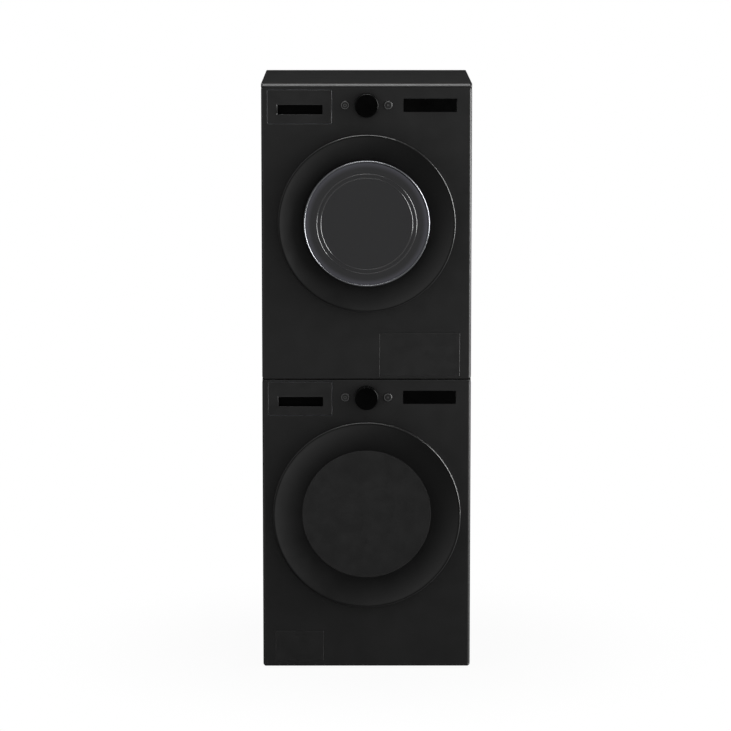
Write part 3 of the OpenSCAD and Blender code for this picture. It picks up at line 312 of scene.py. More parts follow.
def cut_boxes(made, boxes):
    """Takes boxes, each given by two corners, out of a closed piece."""
    low = np.array([b[0] for b in boxes], float)
    high = np.array([b[1] for b in boxes], float)
    pick = np.array([[i & 1, (i >> 1) & 1, (i >> 2) & 1] for i in range(8)])
    points = (low[:, None] * (1 - pick) + high[:, None] * pick).reshape(-1, 3)
    sides = np.array([[0, 2, 3, 1], [4, 5, 7, 6], [0, 1, 5, 4], [2, 6, 7, 3], [0, 4, 6, 2], [1, 3, 7, 5]])
    faces = (np.arange(len(boxes))[:, None, None] * 8 + sides).reshape(-1, 4)
    mesh = bpy.data.meshes.new("cutter")
    mesh.from_pydata(points.tolist(), [], faces.tolist())
    cutter = bpy.data.objects.new("cutter", mesh)
    bpy.context.scene.collection.objects.link(cutter)
    cut = made.modifiers.new("Cut", "BOOLEAN")
    cut.object = cutter
    cut.operation = "DIFFERENCE"
    cut.solver = "EXACT"
    made.modifiers.move(len(made.modifiers) - 1, 0)
    with bpy.context.temp_override(object=made, active_object=made, selected_objects=[made]):
        bpy.ops.object.modifier_apply(modifier=cut.name)
    bpy.data.objects.remove(cutter)


# ---------------------------------------------------------------- finishes


def node(tree, kind, inputs, **settings):
    """Adds a node, sets its settings, and gives each input its value or its link."""
    made = tree.nodes.new(kind)
    for name, value in settings.items():
        setattr(made, name, value)
    for name, value in inputs.items():
        if isinstance(value, bpy.types.NodeSocket):
            tree.links.new(value, made.inputs[name])
        else:
            made.inputs[name].default_value = value
    return made


def new_material(name):
    """An empty node material, with its tree and its output's surface socket."""
    made = bpy.data.materials.new(name)
    made.use_nodes = True
    made.node_tree.nodes.clear()
    output = made.node_tree.nodes.new("ShaderNodeOutputMaterial")
    return made, made.node_tree, output.inputs["Surface"]


def object_points(tree, scale=(1, 1, 1)):
    """Object coordinates, stretched by a mapping node."""
    coordinates = node(tree, "ShaderNodeTexCoord", {})
    return node(tree, "ShaderNodeMapping",
                {"Vector": coordinates.outputs["Object"], "Scale": scale}).outputs["Vector"]


def mottled(tree, colour, amount, size, points=None):
    """A colour that drifts a little lighter and darker over patches of that size."""
    points = points or object_points(tree)
    drift = node(tree, "ShaderNodeTexNoise", {"Vector": points, "Scale": 1 / size, "Detail": 3.0})
    dark = [c * (1 - amount) for c in colour[:3]] + [1]
    light = [min(1, c * (1 + amount)) for c in colour[:3]] + [1]
    ramp = node(tree, "ShaderNodeValToRGB", {"Fac": drift.outputs["Fac"]})
    ramp.color_ramp.elements[0].position, ramp.color_ramp.elements[0].color = 0.3, dark
    ramp.color_ramp.elements[1].position, ramp.color_ramp.elements[1].color = 0.7, light
    return ramp.outputs["Color"]


def grain(tree, size, height, strength=1.0, points=None, detail=2.0):
    """A bump of that grain size and height, in metres."""
    points = points or object_points(tree)
    noise = node(tree, "ShaderNodeTexNoise", {"Vector": points, "Scale": 1 / size, "Detail": detail})
    return node(tree, "ShaderNodeBump",
                {"Height": noise.outputs["Fac"], "Distance": height, "Strength": strength}).outputs["Normal"]


def uneven(tree, middle, spread, size, points=None):
    """A roughness that drifts round a middle value over patches of that size."""
    points = points or object_points(tree)
    noise = node(tree, "ShaderNodeTexNoise", {"Vector": points, "Scale": 1 / size, "Detail": 2.0})
    drift = node(tree, "ShaderNodeMapRange", {
        "Value": noise.outputs["Fac"], "From Min": 0.3, "From Max": 0.7,
        "To Min": middle - spread, "To Max": middle + spread})
    return drift.outputs["Result"]


def black_enamel(colour):
    """Powder-coated sheet steel, baked: satin, with a faint orange peel of about 1.5 mm."""
    made, tree, surface = new_material("powder_coated_steel")
    shader = node(tree, "ShaderNodeBsdfPrincipled", {
        "Base Color": mottled(tree, colour, 0.03, 0.12),
        "Roughness": uneven(tree, 0.42, 0.03, 0.05),
        "Specular IOR Level": 0.3,
        "Normal": grain(tree, 1.5 * MM, 0.01 * MM, 0.35),
    })
    tree.links.new(shader.outputs["BSDF"], surface)
    return made


def moulded_abs(name, colour, roughness, specular, texture=0.6):
    """Injection-moulded plastic: a spark-eroded grain, its size in millimetres, and slow drifts of gloss."""
    made, tree, surface = new_material(name)
    shader = node(tree, "ShaderNodeBsdfPrincipled", {
        "Base Color": mottled(tree, colour, 0.04, 0.08),
        "Roughness": uneven(tree, roughness, 0.04, 0.03),
        "Specular IOR Level": specular,
        "Normal": grain(tree, texture * MM, 0.012 * MM, 0.4),
    })
    tree.links.new(shader.outputs["BSDF"], surface)
    return made


def ring_lacquer(colour):
    """Lacquered ABS: a smooth satin coat over a 0.8 mm grain, so light draws out softly along the rings."""
    made, tree, surface = new_material("lacquered_abs")
    shader = node(tree, "ShaderNodeBsdfPrincipled", {
        "Base Color": mottled(tree, colour, 0.04, 0.1),
        "Roughness": uneven(tree, 0.3, 0.02, 0.06),
        "Specular IOR Level": 0.5,
        "Normal": grain(tree, 0.8 * MM, 0.006 * MM, 0.3),
    })
    tree.links.new(shader.outputs["BSDF"], surface)
    return made


def dark_glass(colour, painted_sheen_colour, centre, glass_radius):
    """Tempered glass, printed dark behind: smooth with a soft sheen from its roughness, and a painted sheen
    that makes its colour paler and bluer near the rim."""
    made, tree, surface = new_material("printed_tempered_glass")
    points = node(tree, "ShaderNodeTexCoord", {}).outputs["Object"]
    offset = node(tree, "ShaderNodeVectorMath", {0: points, 1: centre}, operation="SUBTRACT")
    flat = node(tree, "ShaderNodeVectorMath", {0: offset.outputs["Vector"], 1: (1, 0, 1)},
                operation="MULTIPLY")
    distance = node(tree, "ShaderNodeVectorMath", {0: flat.outputs["Vector"]}, operation="LENGTH")
    share = node(tree, "ShaderNodeMapRange", {
        "Value": distance.outputs["Value"], "From Min": glass_radius * 0.9, "From Max": glass_radius,
    }, interpolation_type="SMOOTHSTEP")
    # Painted sheen: the print's colour turns paler and bluer over the outer tenth of the glass's radius.
    print_and_sheen_colour = node(tree, "ShaderNodeMix", {"Factor": share.outputs["Result"]}, data_type="RGBA")
    print_and_sheen_colour.inputs[6].default_value = colour
    print_and_sheen_colour.inputs[7].default_value = painted_sheen_colour
    shader = node(tree, "ShaderNodeBsdfPrincipled", {
        "Base Color": print_and_sheen_colour.outputs[2],
        "Roughness": uneven(tree, 0.2, 0.015, 0.09),
        "Specular IOR Level": 0.35,
        "Normal": grain(tree, 40 * MM, 0.01 * MM, 0.2),
    })
    tree.links.new(shader.outputs["BSDF"], surface)
    return made


def clear_glass(colour):
    """Pressed borosilicate glass: clear, with slow ripples about 25 mm long from the mould."""
    made, tree, surface = new_material("pressed_glass")
    shader = node(tree, "ShaderNodeBsdfPrincipled", {
        "Base Color": mottled(tree, colour, 0.01, 0.1),
        "Roughness": 0.03,
        "IOR": 1.47,
        "Transmission Weight": 1.0,
        "Normal": grain(tree, 25 * MM, 0.05 * MM, 0.3),
    })
    tree.links.new(shader.outputs["BSDF"], surface)
    return made


def brushed_metal(name, colour, roughness, scratch=(1, 1, 30)):
    """Brushed or rolled metal: fine scratches about 0.3 mm apart, drawn out along one direction."""
    made, tree, surface = new_material(name)
    points = object_points(tree, scratch)
    shader = node(tree, "ShaderNodeBsdfPrincipled", {
        "Base Color": mottled(tree, colour, 0.06, 0.02, points),
        "Metallic": 1.0,
        "Roughness": uneven(tree, roughness, 0.06, 0.01, points),
        "Normal": grain(tree, 9 * MM, 0.01 * MM, 0.4, points),
    })
    tree.links.new(shader.outputs["BSDF"], surface)
    return made


def plated_metal(name, colour, roughness):
    """Chrome plate over moulded plastic: metal with a soft shine, and a slow waviness of about 30 mm."""
    made, tree, surface = new_material(name)
    shader = node(tree, "ShaderNodeBsdfPrincipled", {
        "Base Color": mottled(tree, colour, 0.03, 0.06),
        "Metallic": 1.0,
        "Roughness": uneven(tree, roughness, 0.02, 0.03),
        "Normal": grain(tree, 30 * MM, 0.02 * MM, 0.2),
    })
    tree.links.new(shader.outputs["BSDF"], surface)
    return made


def galvanised(colour):
    """Zinc-dipped steel: a spangle of flat crystals about 6 mm wide, each a little lighter or darker."""
    made, tree, surface = new_material("galvanised_steel")
    points = object_points(tree)
    crystals = node(tree, "ShaderNodeTexVoronoi", {"Vector": points, "Scale": 1 / (6 * MM)})
    shade = node(tree, "ShaderNodeSeparateColor", {"Color": crystals.outputs["Color"]})
    ramp = node(tree, "ShaderNodeValToRGB", {"Fac": shade.outputs["Red"]})
    ramp.color_ramp.elements[0].color = [c * 0.8 for c in colour[:3]] + [1]
    ramp.color_ramp.elements[1].color = [min(1, c * 1.15) for c in colour[:3]] + [1]
    rough = node(tree, "ShaderNodeMapRange", {"Value": shade.outputs["Green"], "To Min": 0.34, "To Max": 0.5})
    shader = node(tree, "ShaderNodeBsdfPrincipled", {
        "Base Color": ramp.outputs["Color"],
        "Metallic": 1.0,
        "Roughness": rough.outputs["Result"],
    })
    tree.links.new(shader.outputs["BSDF"], surface)
    return made


def rubber(name, colour):
    """Moulded EPDM rubber: matt, with a fine bloom and a grain of about 0.8 mm."""
    made, tree, surface = new_material(name)
    shader = node(tree, "ShaderNodeBsdfPrincipled", {
        "Base Color": mottled(tree, colour, 0.12, 0.03),
        "Roughness": uneven(tree, 0.66, 0.06, 0.02),
        "Specular IOR Level": 0.35,
        "Normal": grain(tree, 0.8 * MM, 0.03 * MM, 0.5),
    })
    tree.links.new(shader.outputs["BSDF"], surface)
    return made


def cast_metal(name, colour):
    """Sand-cast metal: a coarse skin of 2.5 mm grains, with patches about 8 mm wide that are more dull."""
    made, tree, surface = new_material(name)
    shader = node(tree, "ShaderNodeBsdfPrincipled", {
        "Base Color": mottled(tree, colour, 0.25, 6 * MM),
        "Roughness": uneven(tree, 0.62, 0.1, 8 * MM),
        "Normal": grain(tree, 2.5 * MM, 0.25 * MM, 0.7, detail=4.0),
    })
    tree.links.new(shader.outputs["BSDF"], surface)
    return made


def windings(colour):
    """Enamelled copper wire wound in layers: turns about 1.2 mm apart, drawn coarse so that they show."""
    made, tree, surface = new_material("enamelled_copper_wire")
    points = object_points(tree)
    turns = node(tree, "ShaderNodeTexWave", {"Vector": points, "Scale": 1 / (4 * MM), "Distortion": 0.4},
                 wave_type="BANDS", bands_direction="Y")
    bump = node(tree, "ShaderNodeBump",
                {"Height": turns.outputs["Fac"], "Distance": 0.4 * MM, "Strength": 0.8})
    shader = node(tree, "ShaderNodeBsdfPrincipled", {
        "Base Color": mottled(tree, colour, 0.2, 5 * MM),
        "Metallic": 1.0,
        "Roughness": uneven(tree, 0.32, 0.05, 0.01),
        "Normal": bump.outputs["Normal"],
    })
    tree.links.new(shader.outputs["BSDF"], surface)
    return made


def laminate(colour, pad_colour):
    """Glass-epoxy circuit board: green solder resist over copper tracks about 1.6 mm wide."""
    made, tree, surface = new_material("solder_resist_laminate")
    points = object_points(tree)
    tracks = node(tree, "ShaderNodeTexBrick", {
        "Vector": points, "Color1": colour, "Color2": [c * 0.8 for c in colour[:3]] + [1],
        "Mortar": pad_colour, "Scale": 1 / (16 * MM), "Mortar Size": 0.05})
    shader = node(tree, "ShaderNodeBsdfPrincipled", {
        "Base Color": tracks.outputs["Color"],
        "Roughness": uneven(tree, 0.35, 0.05, 0.01),
        "Normal": grain(tree, 1.2 * MM, 0.03 * MM, 0.4),
    })
    tree.links.new(shader.outputs["BSDF"], surface)
    return made


def paper_floor():
    """Pale seamless paper that glows white to the camera, with a faint shadow close to the object."""
    made, tree, surface = new_material("seamless_paper")
    diffuse = node(tree, "ShaderNodeBsdfDiffuse",
                   {"Color": mottled(tree, linear("#f1f1f1"), 0.01, 0.4), "Roughness": 0.6})
    glow = node(tree, "ShaderNodeEmission", {"Color": (1, 1, 1, 1), "Strength": 1.0})
    path = node(tree, "ShaderNodeLightPath", {})
    seen = node(tree, "ShaderNodeMath",
                {0: path.outputs["Is Camera Ray"], 1: path.outputs["Is Transmission Ray"]},
                operation="MAXIMUM")
    away = node(tree, "ShaderNodeVectorMath", {0: object_points(tree)}, operation="LENGTH")
    fade = node(tree, "ShaderNodeMapRange", {
        "Value": away.outputs["Value"], "From Min": 0.3, "From Max": 1.1, "To Min": 0.95, "To Max": 1.0,
    }, interpolation_type="SMOOTHSTEP")
    share = node(tree, "ShaderNodeMath", {0: seen.outputs["Value"], 1: fade.outputs["Result"]},
                 operation="MULTIPLY")
    both = node(tree, "ShaderNodeMixShader", {"Fac": share.outputs["Value"]})
    tree.links.new(diffuse.outputs["BSDF"], both.inputs[1])
    tree.links.new(glow.outputs["Emission"], both.inputs[2])
    tree.links.new(both.outputs["Shader"], surface)
    return made


# ---------------------------------------------------------------- settings

def colour_setting(name, what, hex_colour):
    """A colour that can be changed in the panel."""
    return FloatVectorProperty(name=name, description=what, subtype="COLOR", size=4, min=0, max=1,
                               default=linear(hex_colour))


def size_setting(name, what, default, low, high):
    """A length in metres that can be changed in the panel."""
    return FloatProperty(name=name, description=what, unit="LENGTH", subtype="DISTANCE", precision=5,
                         default=default, min=low, max=high)


class LaundrySettings(PropertyGroup):
    """Sizes and colours of the skins and finishes."""

    coat: colour_setting("Cabinet coat", "Powder coat on the cabinets, fronts and tops", "#232323")
    fascia: colour_setting("Fascia", "Moulded drawer fronts, flaps and the washer's door disc", "#232323")
    lacquer: colour_setting("Door ring", "Lacquer on both door rings", "#0b0b0b")
    gloss_black: colour_setting("Gloss black", "Knobs and display windows", "#030303")
    glass: colour_setting("Glass", "Print behind the dryer door's glass", "#373738")
    # Painted sheen: a paler, bluer colour painted into the glass near its rim.
    glass_painted_sheen: colour_setting("Glass edge", "The glass near its edge, past the print", "#4d4d53")
    chrome: colour_setting("Chrome", "Dark chrome round the dryer door's glass", "#6c6d70")
    mark: colour_setting("Printed marks", "Ink of the button rings and marks", "#707070")
    pale: colour_setting("Pale plastic", "Tubs, drawer and tank", "#d0d3d6")
    grey: colour_setting("Grey plastic", "Inner mouldings", "#80838a")
    gasket: colour_setting("Gasket", "Grey door gasket", "#55585b")
    black_rubber: colour_setting("Black rubber", "Feet, rollers and belt", "#101010")
    stainless: colour_setting("Stainless steel", "Drums", "#b8b9ba")
    zinc: colour_setting("Zinc", "Galvanised brackets and shafts", "#a0a3a6")
    copper: colour_setting("Copper wire", "Motor windings", "#b06a35")
    board: colour_setting("Circuit board", "Solder resist", "#1c5a36")
    corner: size_setting("Corner radius", "Corner radius of the front sheets", 0.008, 0.004, 0.015)
    side_bend: size_setting("Side bend", "Bend radius of the front sheets' upright edges", 0.009, 0.004,
                            0.012)
    end_bend: size_setting("End bend", "Bend radius of the front sheets' top and bottom edges", 0.002,
                           0.0015, 0.004)
    hole_edge: size_setting("Hole edge", "Rounding of the edges of punched holes", 0.0011, 0.0002, 0.0012)
    top_bevel: size_setting("Top bevel", "Depth of the bevel on the front edge of the tops", 0.011, 0.004,
                            0.014)
    perforations: IntProperty(name="Holes round the drum",
                              description="Holes in each row round the washer's drum",
                              default=84, min=24, max=160)


FINISHES = {
    "coat": lambda s: black_enamel(s.coat),
    "pocket": lambda s: moulded_abs("pocket_abs", s.gloss_black, 0.45, 0.1, 1.0),
    "fascia": lambda s: moulded_abs("moulded_abs", s.fascia, 0.36, 0.5),
    "lacquer": lambda s: ring_lacquer(s.lacquer),
    "gloss_black": lambda s: moulded_abs("polished_abs", s.gloss_black, 0.3, 0.1, 2.0),
    "glass": lambda s: dark_glass(s.glass, s.glass_painted_sheen, (0, DRYER.front, DRYER.door_z), 0.174),
    "chrome": lambda s: plated_metal("dark_chrome_plate", s.chrome, 0.34),
    "mark": lambda s: moulded_abs("printing_ink", s.mark, 0.6, 0.2, 0.3),
    "pale": lambda s: moulded_abs("moulded_polypropylene", s.pale, 0.45, 0.4, 0.8),
    "grey": lambda s: moulded_abs("grey_polypropylene", s.grey, 0.5, 0.35, 0.8),
    "black_plastic": lambda s: moulded_abs("black_polypropylene", s.coat, 0.55, 0.3, 1.0),
    "gasket": lambda s: rubber("grey_rubber", s.gasket),
    "black_rubber": lambda s: rubber("black_rubber", s.black_rubber),
    "clear_glass": lambda s: clear_glass(linear("#f2f8f8")),
    "stainless": lambda s: brushed_metal("brushed_stainless", s.stainless, 0.28),
    "zinc": lambda s: galvanised(s.zinc),
    "aluminium": lambda s: brushed_metal("folded_aluminium", linear("#b0b2b4"), 0.36, (1, 30, 1)),
    "cast": lambda s: cast_metal("cast_iron", linear("#5a5856")),
    "copper": lambda s: windings(s.copper),
    "board": lambda s: laminate(s.board, linear("#3f8a5c")),
}
MADE = {}


def finish(name):
    """The finish of that name, made the first time that a piece asks for it."""
    if name not in MADE:
        MADE[name] = FINISHES[name](bpy.context.scene.laundry)
    return MADE[name]


# ---------------------------------------------------------------- stage


def make_floor():
    """A round sheet of paper under the machines: rings of points (r cos t, y + r sin t) for r from 0 out."""
    radius, middle_y, rings, around = 2.4, 0.9, 13, 96
    r = np.linspace(0, radius, rings)
    t = np.linspace(0, 2 * math.pi, around, endpoint=False)
    grid = np.stack([r[:, None] * np.cos(t), middle_y + r[:, None] * np.sin(t),
                     np.zeros((rings, around))], -1)
    mesh = bpy.data.meshes.new("paper_floor")
    mesh.from_pydata(grid.reshape(-1, 3).tolist(), [], grid_faces(rings, around))
    tidy_mesh(mesh)
    floor = bpy.data.objects.new("paper_floor", mesh)
    bpy.context.scene.collection.objects.link(floor)
    mesh.materials.append(paper_floor())
    if mesh.polygons[0].normal.z < 0:
        mesh.flip_normals()
    floor.visible_glossy = False


def make_world():
    """A room that is white to the camera and through glass.

    Diffuse light fades towards the zenith. Reflections show a studio: white above and to the right, and
    banks of light round the lens that black flags shade.
    """
    world = bpy.data.worlds.new("white_room")
    bpy.context.scene.world = world
    world.use_nodes = True
    tree = world.node_tree
    tree.nodes.clear()
    path = node(tree, "ShaderNodeLightPath", {})
    direction = node(tree, "ShaderNodeTexCoord", {}).outputs["Generated"]
    parts = node(tree, "ShaderNodeSeparateXYZ", {"Vector": direction})
    above = node(tree, "ShaderNodeMapRange", {
        "Value": parts.outputs["Z"], "From Min": 0.6, "From Max": 1.0, "To Min": 0.0, "To Max": 0.8,
    }, interpolation_type="SMOOTHSTEP")
    side = node(tree, "ShaderNodeMapRange", {
        "Value": parts.outputs["X"], "From Min": 0.5, "From Max": 1.0, "To Min": 0.0, "To Max": 1.0,
    }, interpolation_type="SMOOTHSTEP")
    lens_axis = (0, -math.cos(CAMERA_TILT), -math.sin(CAMERA_TILT))
    near_axis = node(tree, "ShaderNodeVectorMath", {0: direction, 1: lens_axis}, operation="DOT_PRODUCT")
    spread = node(tree, "ShaderNodeMapRange", {
        "Value": near_axis.outputs["Value"], "From Min": 1.0, "From Max": 0.3, "To Min": 0.04, "To Max": 1.3})
    raised = node(tree, "ShaderNodeMath", {0: parts.outputs["Z"], 1: math.sin(CAMERA_TILT)}, operation="ADD")
    cross = node(tree, "ShaderNodeMath", {0: parts.outputs["X"], 1: raised.outputs["Value"]},
                 operation="MULTIPLY")
    flags = node(tree, "ShaderNodeMapRange", {
        "Value": cross.outputs["Value"], "From Min": -0.22, "From Max": 0.29, "To Min": 1.1, "To Max": 0.0})
    beside = node(tree, "ShaderNodeMapRange", {
        "Value": parts.outputs["Y"], "From Min": -0.5, "From Max": 0.0, "To Min": 1.0, "To Max": 0.0,
    }, interpolation_type="SMOOTHSTEP")
    ring = node(tree, "ShaderNodeMath", {0: spread.outputs["Result"], 1: beside.outputs["Result"]},
                operation="MULTIPLY")
    banks = node(tree, "ShaderNodeMath", {0: ring.outputs["Value"], 1: flags.outputs["Result"]},
                 operation="MULTIPLY")
    edges = node(tree, "ShaderNodeMath", {0: above.outputs["Result"], 1: side.outputs["Result"]},
                 operation="MAXIMUM")
    studio = node(tree, "ShaderNodeMath", {0: banks.outputs["Value"], 1: edges.outputs["Value"]},
                  operation="MAXIMUM")
    sky = node(tree, "ShaderNodeMapRange", {
        "Value": parts.outputs["Z"], "From Min": 0.2, "From Max": 1.0, "To Min": 0.95, "To Max": 0.1})
    through = node(tree, "ShaderNodeMath",
                   {0: path.outputs["Is Camera Ray"], 1: path.outputs["Is Transmission Ray"]},
                   operation="MAXIMUM")
    plain = node(tree, "ShaderNodeMix", {0: path.outputs["Is Glossy Ray"], 2: sky.outputs["Result"],
                                         3: studio.outputs["Value"]}, data_type="FLOAT")
    seen = node(tree, "ShaderNodeMix", {0: through.outputs["Value"], 2: plain.outputs[0], 3: 1.0},
                data_type="FLOAT")
    background = node(tree, "ShaderNodeBackground", {"Color": (1, 1, 1, 1), "Strength": seen.outputs[0]})
    output = tree.nodes.new("ShaderNodeOutputWorld")
    tree.links.new(background.outputs["Background"], output.inputs["Surface"])


def make_lamp(name, place, target, width, height, power):
    """A rectangular soft box at a place, aimed at a target.

    It shows in reflections and through glass, and gives no diffuse light.
    """
    light = bpy.data.lights.new(name, "AREA")
    light.shape = "RECTANGLE"
    light.size, light.size_y, light.energy = width, height, power
    lamp = bpy.data.objects.new(name, light)
    lamp.location = place
    lamp.rotation_euler = (Vector(target) - Vector(place)).to_track_quat("-Z", "Y").to_euler()
    lamp.visible_camera = False
    lamp.visible_diffuse = False
    bpy.context.scene.collection.objects.link(lamp)


def make_camera():
    """A long lens in front of the machines and a little above them, looking slightly down."""
    camera_data = bpy.data.cameras.new("camera")
    camera_data.lens, camera_data.sensor_width = LENS, SENSOR
    camera = bpy.data.objects.new("camera", camera_data)
    camera.location = CAMERA_PLACE
    camera.rotation_euler = (math.pi / 2 - CAMERA_TILT, 0, CAMERA_ROLL)
    bpy.context.scene.collection.objects.link(camera)
    bpy.context.scene.camera = camera


def make_stage():
    """Camera, floor, world and lamps."""
    bpy.context.scene.view_settings.view_transform = "Standard"
    make_camera()
    make_floor()
    make_world()
    make_lamp("right_box", (4.0, -1.2, 1.9), (0.3, -0.28, 1.05), 1.6, 3.6, 560)
    make_lamp("top_box", (0, -0.5, 5.2), (0, -0.28, 1.7), 3.0, 1.0, 190)


# ---------------------------------------------------------------- cabinets


BUTTON_X = 61.5 * MM
FLAP_WIDTH = {"washer": 138 * MM, "dryer": 230 * MM}
FLAP_PIN = 4.5 * MM  # from a flap's end to its ear, and from the front's face back to the pin
FLAP_PIN_Z = 5 * MM  # above the flap's low edge


def openings_in(machine):
    """Outlines of every hole punched in a front sheet, and of the flap's cut-out."""
    door_hole = 195 * MM if machine is WASHER else 190 * MM
    z = machine.controls_z
    drawer_x, drawer_z, drawer_w, drawer_h = machine.drawer
    low, high = machine.flap_low, machine.flap_high
    display_x = (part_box("display_windows")[0].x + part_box("display_windows")[1].x) / 2
    gap, button_hole, knob_hole = 2.4 * MM, 12.6 * MM, 9 * MM
    flap = rounded_outline(FLAP_WIDTH[machine_name(machine)] + gap / 6, high.z - low.z + gap / 6, 5 * MM,
                           low_radius=0.4 * MM)
    return [
        moved(circle_outline(door_hole), 0, machine.door_z),
        moved(rounded_outline(drawer_w + gap, drawer_h + gap, 4 * MM), drawer_x, drawer_z),
        moved(circle_outline(button_hole, 64), -BUTTON_X, z),
        moved(circle_outline(button_hole, 64), BUTTON_X, z),
        moved(circle_outline(knob_hole, 48), 0, z),
        moved(rounded_outline(152 * MM, 38 * MM, 2 * MM), display_x, z),
        moved(rounded_outline(18 * MM, 24 * MM, 2 * MM), door_hole + 22 * MM, machine.door_z),
        moved(flap, (low.x + high.x) / 2, (low.z + high.z) / 2),
    ]


def front_sheet(machine, settings):
    """A front sheet with its edges folded back, as one closed skin 1.2 mm thick.

    Round the outline the bend's points lie b (1 - sin t) inside it and b (1 - cos t) back; b grows from
    the end bend to the side bend with the square of the normal's X.
    """
    name = machine_name(machine)
    thick, fold = 1.2 * MM, 22 * MM
    outline, normals = rounded_outline(machine.right - machine.left, machine.top - machine.bottom,
                                       settings.corner, 12)
    outline = outline + [0, (machine.top + machine.bottom) / 2]
    bend = settings.end_bend + (settings.side_bend - settings.end_bend) * normals[:, 0] ** 2
    t = np.linspace(0, math.pi / 2, 8)[:, None]
    inside = bend - thick
    inward = np.concatenate([bend * (1 - np.sin(t)), [0 * bend, 0 * bend + thick],
                             thick + inside * (1 - np.sin(t[::-1]))])
    back = np.concatenate([bend * (1 - np.cos(t)), [0 * bend + fold, 0 * bend + fold],
                           thick + inside * (1 - np.cos(t[::-1]))])
    flat = outline - normals * inward[..., None]
    edge = np.stack([flat[..., 0], machine.front + back, flat[..., 1]], -1)
    holes = openings_in(machine)
    punched = edge_profile(settings.hole_edge, machine.front, machine.front + thick, 1)
    rims = [carried(hole, punched) for hole in holes]
    parts = [grid_part(edge)] + [grid_part(rim) for rim in rims]
    parts.append(filled([edge[0]] + [rim[0] for rim in rims]))
    parts.append(filled([edge[-1]] + [rim[-1] for rim in rims]))
    middle = (machine.flap_low.x + machine.flap_high.x) / 2
    eye = sheet(moved(rounded_outline(11 * MM, 8 * MM, 2 * MM), 0.5 * MM, -0.5 * MM),
                [circle_outline(2.3 * MM, 24)], -1.5 * MM, 1.5 * MM, 0.3 * MM)
    for s in (-1, 1):
        place = [middle + s * (FLAP_WIDTH[name] / 2 + FLAP_PIN), machine.front + FLAP_PIN,
                 machine.flap_low.z + FLAP_PIN_Z]
        parts += [(points[:, [1, 2, 0]] * [1, -1, 1] + place, faces) for points, faces in eye]
    piece(f"{name}_front_sheet", parts, finish("coat"), "root",
          [f"{name}_front_panel"], 40)


def top_cover(name, settings):
    """A top cover with a bevelled front edge and small rounded edges elsewhere.

    The edge is the mean of an arc and a straight chamfer. It runs in by r (2 - sin t - s) / 2 and drops by
    h (1 - cos t + s) / 2, where s goes from 0 to 1 with t. r and h grow from 2 mm with the square of how far
    the normal faces front.
    """
    low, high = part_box(f"{name}_top_panel")
    outline, normals = rounded_outline(high.x - low.x, high.y - low.y, 6 * MM, 12)
    outline = outline + [(high.x + low.x) / 2, (high.y + low.y) / 2]
    front = np.clip(-normals[:, 1], 0, 1) ** 2
    height = high.z - low.z
    run = 2 * MM + (settings.top_bevel - 2 * MM) * front
    drop = 2 * MM + (height - 4 * MM) * front
    t = np.linspace(0, math.pi / 2, 9)[:, None]
    straight = t / (math.pi / 2)
    inward = run * (0.5 * (1 - np.sin(t)) + 0.5 * (1 - straight))
    down = drop * (0.5 * (1 - np.cos(t)) + 0.5 * straight)
    flat = outline - normals * inward[..., None]
    z = high.z - down
    low_row = np.concatenate([outline, np.full((len(outline), 1), low.z + 0.6 * MM)], 1)
    floor_row = np.concatenate([outline - normals * 0.6 * MM, np.full((len(outline), 1), low.z)], 1)
    rows = np.concatenate([np.concatenate([flat, z[..., None]], -1), [low_row, floor_row]])
    parts = [grid_part(rows), filled([rows[0]]), filled([rows[-1]])]
    piece(f"{name}_top_cover", parts, finish("coat"), "root",
          [f"{name}_top_panel"], 40)


# ---------------------------------------------------------------- doors


def ring_profile(seat, seat_y, ledge, ledge_y, rim, foot):
    """A dished door ring, in millimetres: (radius, depth) all the way round its section.

    The dish rises by (share of the way from seat to crest) to the power 1.6."""
    crest = rim - 4.5
    r = np.linspace(seat, crest, 26)
    dish = seat_y + (-50 - seat_y) * ((r - seat) / (crest - seat)) ** 1.6
    front = np.stack([r, dish], -1)
    edge = eased([[crest, -50], [crest + 3.2, -49.3], [rim, -47], [rim, -43], [foot, -4], [foot - 3.5, -4],
                  [crest - 1.8, -41.5], [crest - 4, -44.6]], [1.5, 1.8, 1.5, 1, 1, 0.5])[1:]
    back = np.stack([r, dish + 3], -1)[-4:0:-1]
    inner = [[seat + 3, dish[1] + 4], [seat + 3, -8], [ledge, -8], [ledge, ledge_y], [seat, ledge_y]]
    return np.concatenate([front, edge, back, inner]) * MM


def hinge_cuts(machine, rim, inner):
    """Two upright slots in a ring's left side, where the hinge's arms pass."""
    return [((-rim - 5 * MM, machine.front - 37 * MM, machine.door_z + s * 50 * MM - 3.5 * MM),
             (-inner, machine.front + 1 * MM, machine.door_z + s * 50 * MM + 3.5 * MM)) for s in (-1, 1)]


def make_washer_door():
    """The washer's door: a dished ring and a flat disc with a soft edge."""
    place = (0, WASHER.front, WASHER.door_z)
    ring = piece("washer_dished_ring",
                 [turned(ring_profile(186, -30, 180.5, -26, 270.5, 252), *place, around=240)],
                 finish("lacquer"), "washer_door", ["washer_door_ring"], 50)
    cut_boxes(ring, hinge_cuts(WASHER, WASHER.rim, 228 * MM))
    r = np.linspace(0, 1, 14)
    face = np.stack([183.4 * np.sin(r * math.pi / 2), -30 + 0 * r], -1)
    edge = eased([[183.4, -30], [185.5, -29.6], [185.5, -26], [0, -26]], [0.8, 0.6])[1:]
    piece("washer_disc", [turned(np.concatenate([face, edge]) * MM, *place, around=192)],
          finish("fascia"), "washer_door", ["washer_door_disc"], 50)


